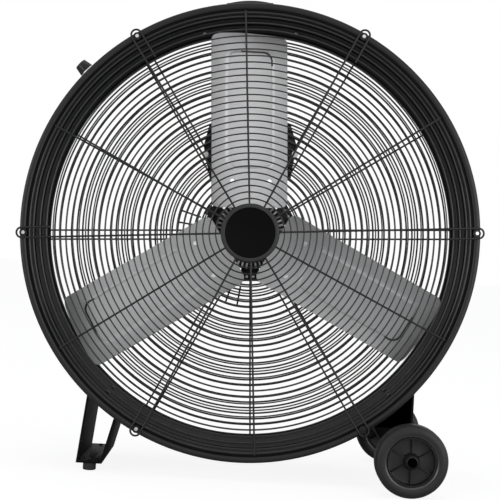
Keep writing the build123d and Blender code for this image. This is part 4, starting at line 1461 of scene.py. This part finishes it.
@dataclass
class MotorFront:
    """The ribs and flange of the motor's front bell, and the clamp beside the left arm."""

    ribs: int = 45
    rib_reach: Point2 = (42.8 * MM, 51.2 * MM)      # inner and outer end
    rib_half: float = 1.35 * MM
    rib_front: Point2 = (11.2 * MM, 8.0 * MM)       # Y at the inner and outer end
    rib_back: float = 23.5 * MM
    first_rib: float = 3.0                          # in degrees
    flange_table: tuple[Point2, ...] = ((44.0, 22.0), (52.5, 22.0), (52.5, 25.0), (44.0, 25.0))
    flange_segments: int = 96
    clamp_reach: Point2 = (62.0 * MM, 79.0 * MM)
    clamp_half: float = 8.0 * MM
    clamp_depth: Point2 = (86.5 * MM, 91.0 * MM)
    clamp_angle: float = 149.5
    sharp: float = 40.0

    def build(self) -> None:
        """Make the pieces."""
        middle = sum(self.rib_reach) / 2
        ends = [(out - middle, front) for out, front in zip(self.rib_reach, self.rib_front)]
        rib = self.block(
            "motor_rib",
            [
                (x, y, z)
                for z in (-self.rib_half, self.rib_half)
                for x, front in ends
                for y in (front, self.rib_back)
            ],
            "cast",
        )
        axis, first = (0.0, 0.0, AXIS_HEIGHT), math.radians(self.first_rib)
        ribs = polar_set("motor_ribs", rib, self.ribs, first, middle, axis, "cast")
        outline, center = from_table(self.flange_table), (0.0, AXIS_HEIGHT)
        flange = lathe("motor_flange", outline, center, ["motor"], self.flange_segments)
        shade_by_angle(flange, self.sharp)
        place(joined("motor_front_ribs", [ribs, flange]), "fan_frame", "motor_paint")
        seat = Seat(self.clamp_angle)
        clamp = self.block(
            "mount_clamp",
            [
                seat.spot(out, along, y)
                for along in (-self.clamp_half, self.clamp_half)
                for out in self.clamp_reach
                for y in self.clamp_depth
            ],
            "motor",
        )
        place(clamp, "fan_frame", "motor_paint")

    @staticmethod
    def block(name: str, corners: Sequence[Sequence[float]], finish: str) -> bpy.types.Object:
        """Make a box with flat faces.

        Args:
            name: The piece's name.
            corners: Its corners, which run over the third side, then the second, then the first.
            finish: Name of its finish.

        Returns:
            The object.
        """
        faces = [
            (0, 1, 3, 2), (4, 6, 7, 5), (0, 2, 6, 4), (1, 5, 7, 3), (0, 4, 5, 1), (2, 3, 7, 6),
        ]
        return new_piece(name, np.array(corners), faces, [finish], smooth=False)


@dataclass
class Wheel:
    """One wheel: a tyre with rounded shoulders on a ribbed plastic disc."""

    side: Side
    track: float = 137.0 * MM    # from the drum's middle to the wheel's
    x: float = 234.0 * MM
    radius: float = 49.5 * MM
    width: float = 30.0 * MM
    tyre_table: tuple[Point2, ...] = (
        (33.0, 4.2), (33.7, 2.6), (35.4, 0.9), (37.2, 0.3), (39.5, 0.0), (42.5, 0.0), (47.0, 1.6),
        (49.5, 6.0),
    )
    tyre_edge: float = 0.9 * MM
    tyre_edge_steps: int = 4
    tyre_segments: int = 160
    # the band inside lip_end is glossier and painted lighter, as a painted highlight
    lip_end: float = 36.2 * MM   # up to where the tyre is glossy
    disc_table: tuple[Point2, ...] = (
        (5.05, 0.0), (7.8, 0.0), (10.8, 6.0), (11.4, 12.5), (31.0, 12.5), (31.6, 2.0), (33.0, 2.0),
    )
    disc_edge: float = 1.0 * MM
    disc_segments: int = 128
    ribs: int = 6
    rib_reach: Point2 = (9.8 * MM, 31.6 * MM)
    rib_half: Point2 = (0.7 * MM, 8.0 * MM)     # half its thickness and depth
    rib_edge: float = 0.7 * MM
    sharp: float = 50.0

    @property
    def middle(self) -> float:
        """Return the Y of the wheel's middle."""
        return self.side.outwards * self.track

    def outline(self, table: Iterable[Point2]) -> list[Point2]:
        """Return an outline whose front half is given and whose back half mirrors it."""
        front = from_table(table, self.middle - self.width / 2)
        return front + [(r, 2 * self.middle - y) for r, y in reversed(front)]

    def tyre(self) -> None:
        """Make the tyre, with a bead ring beside the disc."""
        piece = lathe(
            f"{self.side}_tyre_ring",
            rounded(self.outline(self.tyre_table), self.tyre_edge, self.tyre_edge_steps),
            (self.x, self.radius),
            ["tyre", "tyre_lip"],
            self.tyre_segments,
            lambda spot: int(spot[0] < self.lip_end),
        )
        place(piece, f"wheel_{self.side}", "tyre_rubber", f"{self.side}_tyre")

    def disc(self) -> None:
        """Make the disc with its ribs."""
        outline = rounded(self.outline(self.disc_table), self.disc_edge)
        center = (self.x, self.radius)
        disc = lathe(f"{self.side}_disc", outline, center, ["wheel"], self.disc_segments)
        shade_by_angle(disc, self.sharp)
        axis, first = (self.x, self.middle, self.radius), -math.pi / self.ribs
        ribs = polar_set(
            f"{self.side}_ribs", self.rib_mesh(), self.ribs, first, 0.0, axis, "wheel"
        )
        piece = joined(f"{self.side}_wheel_disc", [disc, ribs])
        place(piece, f"wheel_{self.side}", "wheel_plastic", f"{self.side}_wheel")

    def rib_mesh(self) -> bpy.types.Object:
        """Make one rib along X about the origin, softened at its long edges.

        Returns:
            The object.
        """
        half, deep = self.rib_half
        corners = [(-half, -deep), (half, -deep), (half, deep), (-half, deep)]
        section = rounded(corners, self.rib_edge)
        count = len(section)
        points = np.array([(x, y, z) for x in self.rib_reach for z, y in section])
        faces = [(i, (i + 1) % count, count + (i + 1) % count, count + i) for i in range(count)]
        faces += [tuple(reversed(range(count))), tuple(range(count, 2 * count))]
        piece = new_piece(f"{self.side}_rib", points, faces, ["wheel"])
        shade_by_angle(piece, self.sharp)
        return piece

    def build(self) -> None:
        """Make the wheel."""
        self.tyre()
        self.disc()


# ---------------------------------------------------------------- studio
@dataclass(frozen=True)
class Softbox:
    """A rectangular lamp that looks at the fan."""

    name: str
    at: Point3
    size: Point2
    watts: float

    def build(self) -> None:
        """Make the lamp."""
        data = bpy.data.lights.new(self.name, "AREA")
        data.shape = "RECTANGLE"
        data.size, data.size_y = self.size
        data.energy = self.watts
        lamp = add_object(self.name, data)
        lamp.location = self.at
        aim = Vector((0.0, 0.0, AXIS_HEIGHT)) - Vector(self.at)
        lamp.rotation_euler = aim.to_track_quat("-Z", "Y").to_euler()


@dataclass
class Studio:
    """Floor, light and camera."""

    camera_at: Point3 = (0.00116, -1.715, 0.3223)
    roll: float = 3.14           # of the camera, in degrees
    lens: float = 84.05
    sensor: float = 36.0
    sky_color: tuple[float, float, float, float] = (0.9, 0.92, 0.95, 1.0)
    sky: float = 0.35
    floor_size: float = 30.0
    floor_color: tuple[float, float, float, float] = (0.9, 0.9, 0.9, 1.0)
    floor_roughness: float = 0.9
    floor_glow: float = 1.18     # strength of the white that the camera sees
    floor_share: float = 0.75    # share of that white
    lamps: tuple[Softbox, ...] = (
        Softbox("right_softbox", (2.0, -2.5, 0.5), (2.4, 1.4), 48.0),
        Softbox("left_softbox", (-2.3, -2.2, 0.6), (1.4, 1.4), 26.0),
        Softbox("top_softbox", (0.0, -0.2, 3.2), (1.6, 1.6), 14.0),
    )

    def world(self) -> None:
        """Light the scene from a pale sky that shows as white."""
        world = bpy.data.worlds.new("studio_sky")
        bpy.context.scene.world = world
        world.use_nodes = True
        tree = Tree(world.node_tree)
        seen, through, mirrored = (
            tree.node("ShaderNodeLightPath", {}, {}, f"Is {kind} Ray")
            for kind in ("Camera", "Transmission", "Glossy")
        )
        shown = tree.maths("MAXIMUM", tree.maths("MAXIMUM", seen, through), mirrored)
        sky = {"Color": self.sky_color, "Strength": self.sky}
        light = tree.node("ShaderNodeBackground", {}, sky)
        white = tree.node("ShaderNodeBackground", {}, {"Color": WHITE, "Strength": 1.0})
        mixed = tree.node("ShaderNodeMixShader", {}, {0: shown, 1: light, 2: white})
        tree.add("ShaderNodeOutputWorld", {}, {"Surface": mixed})

    def floor(self) -> None:
        """Make the floor, nearly white to the camera, with the fan's soft shadow."""
        half = self.floor_size / 2
        mesh = bpy.data.meshes.new("studio_floor")
        corners = [(-half, -half, 0), (half, -half, 0), (half, half, 0), (-half, half, 0)]
        mesh.from_pydata(corners, [], [(0, 1, 2, 3)])
        floor = add_object("studio_floor", mesh)
        shader = Shader("studio_floor")
        matt = {"Base Color": self.floor_color, "Roughness": self.floor_roughness}
        paint = shader.node("ShaderNodeBsdfPrincipled", {}, matt)
        white = {"Color": WHITE, "Strength": self.floor_glow}
        glow = shader.node("ShaderNodeEmission", {}, white)
        seen = shader.node("ShaderNodeLightPath", {}, {}, "Is Camera Ray")
        values = {0: seen * self.floor_share, 1: paint, 2: glow}
        mesh.materials.append(shader.finish(shader.node("ShaderNodeMixShader", {}, values)))

    def camera(self) -> None:
        """Place the camera at the photograph's viewing angle."""
        data = bpy.data.cameras.new("camera")
        data.lens = self.lens
        data.sensor_width = self.sensor
        data.sensor_fit = "HORIZONTAL"
        camera = add_object("camera", data)
        turn = math.radians(self.roll)
        right = Vector((math.cos(turn), 0.0, math.sin(turn)))
        up = Vector((-math.sin(turn), 0.0, math.cos(turn)))
        back = Vector((0.0, -1.0, 0.0))
        matrix = Matrix((right, up, back)).transposed().to_4x4()
        matrix.translation = self.camera_at
        camera.matrix_world = matrix
        bpy.context.scene.camera = camera

    def build(self) -> None:
        """Set up the studio."""
        bpy.context.scene.view_settings.view_transform = "Standard"
        self.world()
        self.floor()
        for lamp in self.lamps:
            lamp.build()
        self.camera()
        LOG.info("studio ready")


def paint_solids() -> None:
    """Give their finishes to the CAD nodes that stay as they are."""
    paint(["motor_front_cap", "motor_mount", "blade_hub", "motor_shell"], "motor")
    paint(["blade_rivets"], "rivet")
    paint(["wiring_base", "rotary_switch", "cord_gland"], "plastic")
    paint(["speed_knob"], "knob")
    paint(["foot_bracket_bolts", "wheel_bracket_bolts", "foot_screws"], "dark_zinc")
    paint(["axle_caps"], "cap")
    paint(["axle", "axle_spacers", "motor_shaft", "shaft_bearings", "switch_spindle"], "steel")
    paint(["motor_rotor", "motor_stator"], "core")
    paint(["mount_bolts", "motor_bolts", "wiring_screws", "handle_bolts", "hub_nut"], "zinc")


def soften_solids() -> None:
    """Put softened copies in the place of the stand's and the wiring box's CAD nodes."""
    for node, finish, slot, width in (
        ("foot_bracket", "bracket", "frame_paint", 0.6 * MM),
        ("wheel_bracket", "bracket", "frame_paint", 0.6 * MM),
        ("wiring_cover", "plastic", "box_plastic", 2.0 * MM),
        ("foot_pads", "rubber", "rubber", 1.2 * MM),
    ):
        place(soft_copy(node, finish, width), "fan_frame", slot, node)


def main() -> None:
    """Build the fan's looks in order."""
    logging.basicConfig(level=logging.INFO, format="%(name)s: %(message)s")
    Studio().build()
    paint_solids()
    Drum().build()
    Guard(
        side=Side.FRONT,
        first_ring=47.9 * MM, ring_pitch=9.03 * MM, outer_ring=306.3 * MM,
        turn=1.15, hub_end=30.0 * MM, return_end=277.5 * MM, centred=False,
    ).build()
    Guard(
        side=Side.REAR,
        first_ring=52.0 * MM, ring_pitch=8.64 * MM, outer_ring=302.56 * MM, ring_wire=1.4 * MM,
        turn=0.0, hub_end=51.0 * MM, return_end=51.0 * MM, centred=True,
        stays=(160.5, 170.0, 250.0, 259.5),
    ).build()
    soften_solids()
    TopParts().build()
    MotorFront().build()
    Badge().build()
    Blades().build()
    for side in Side:
        Wheel(side).build()


if __name__ == "__main__":
    main()
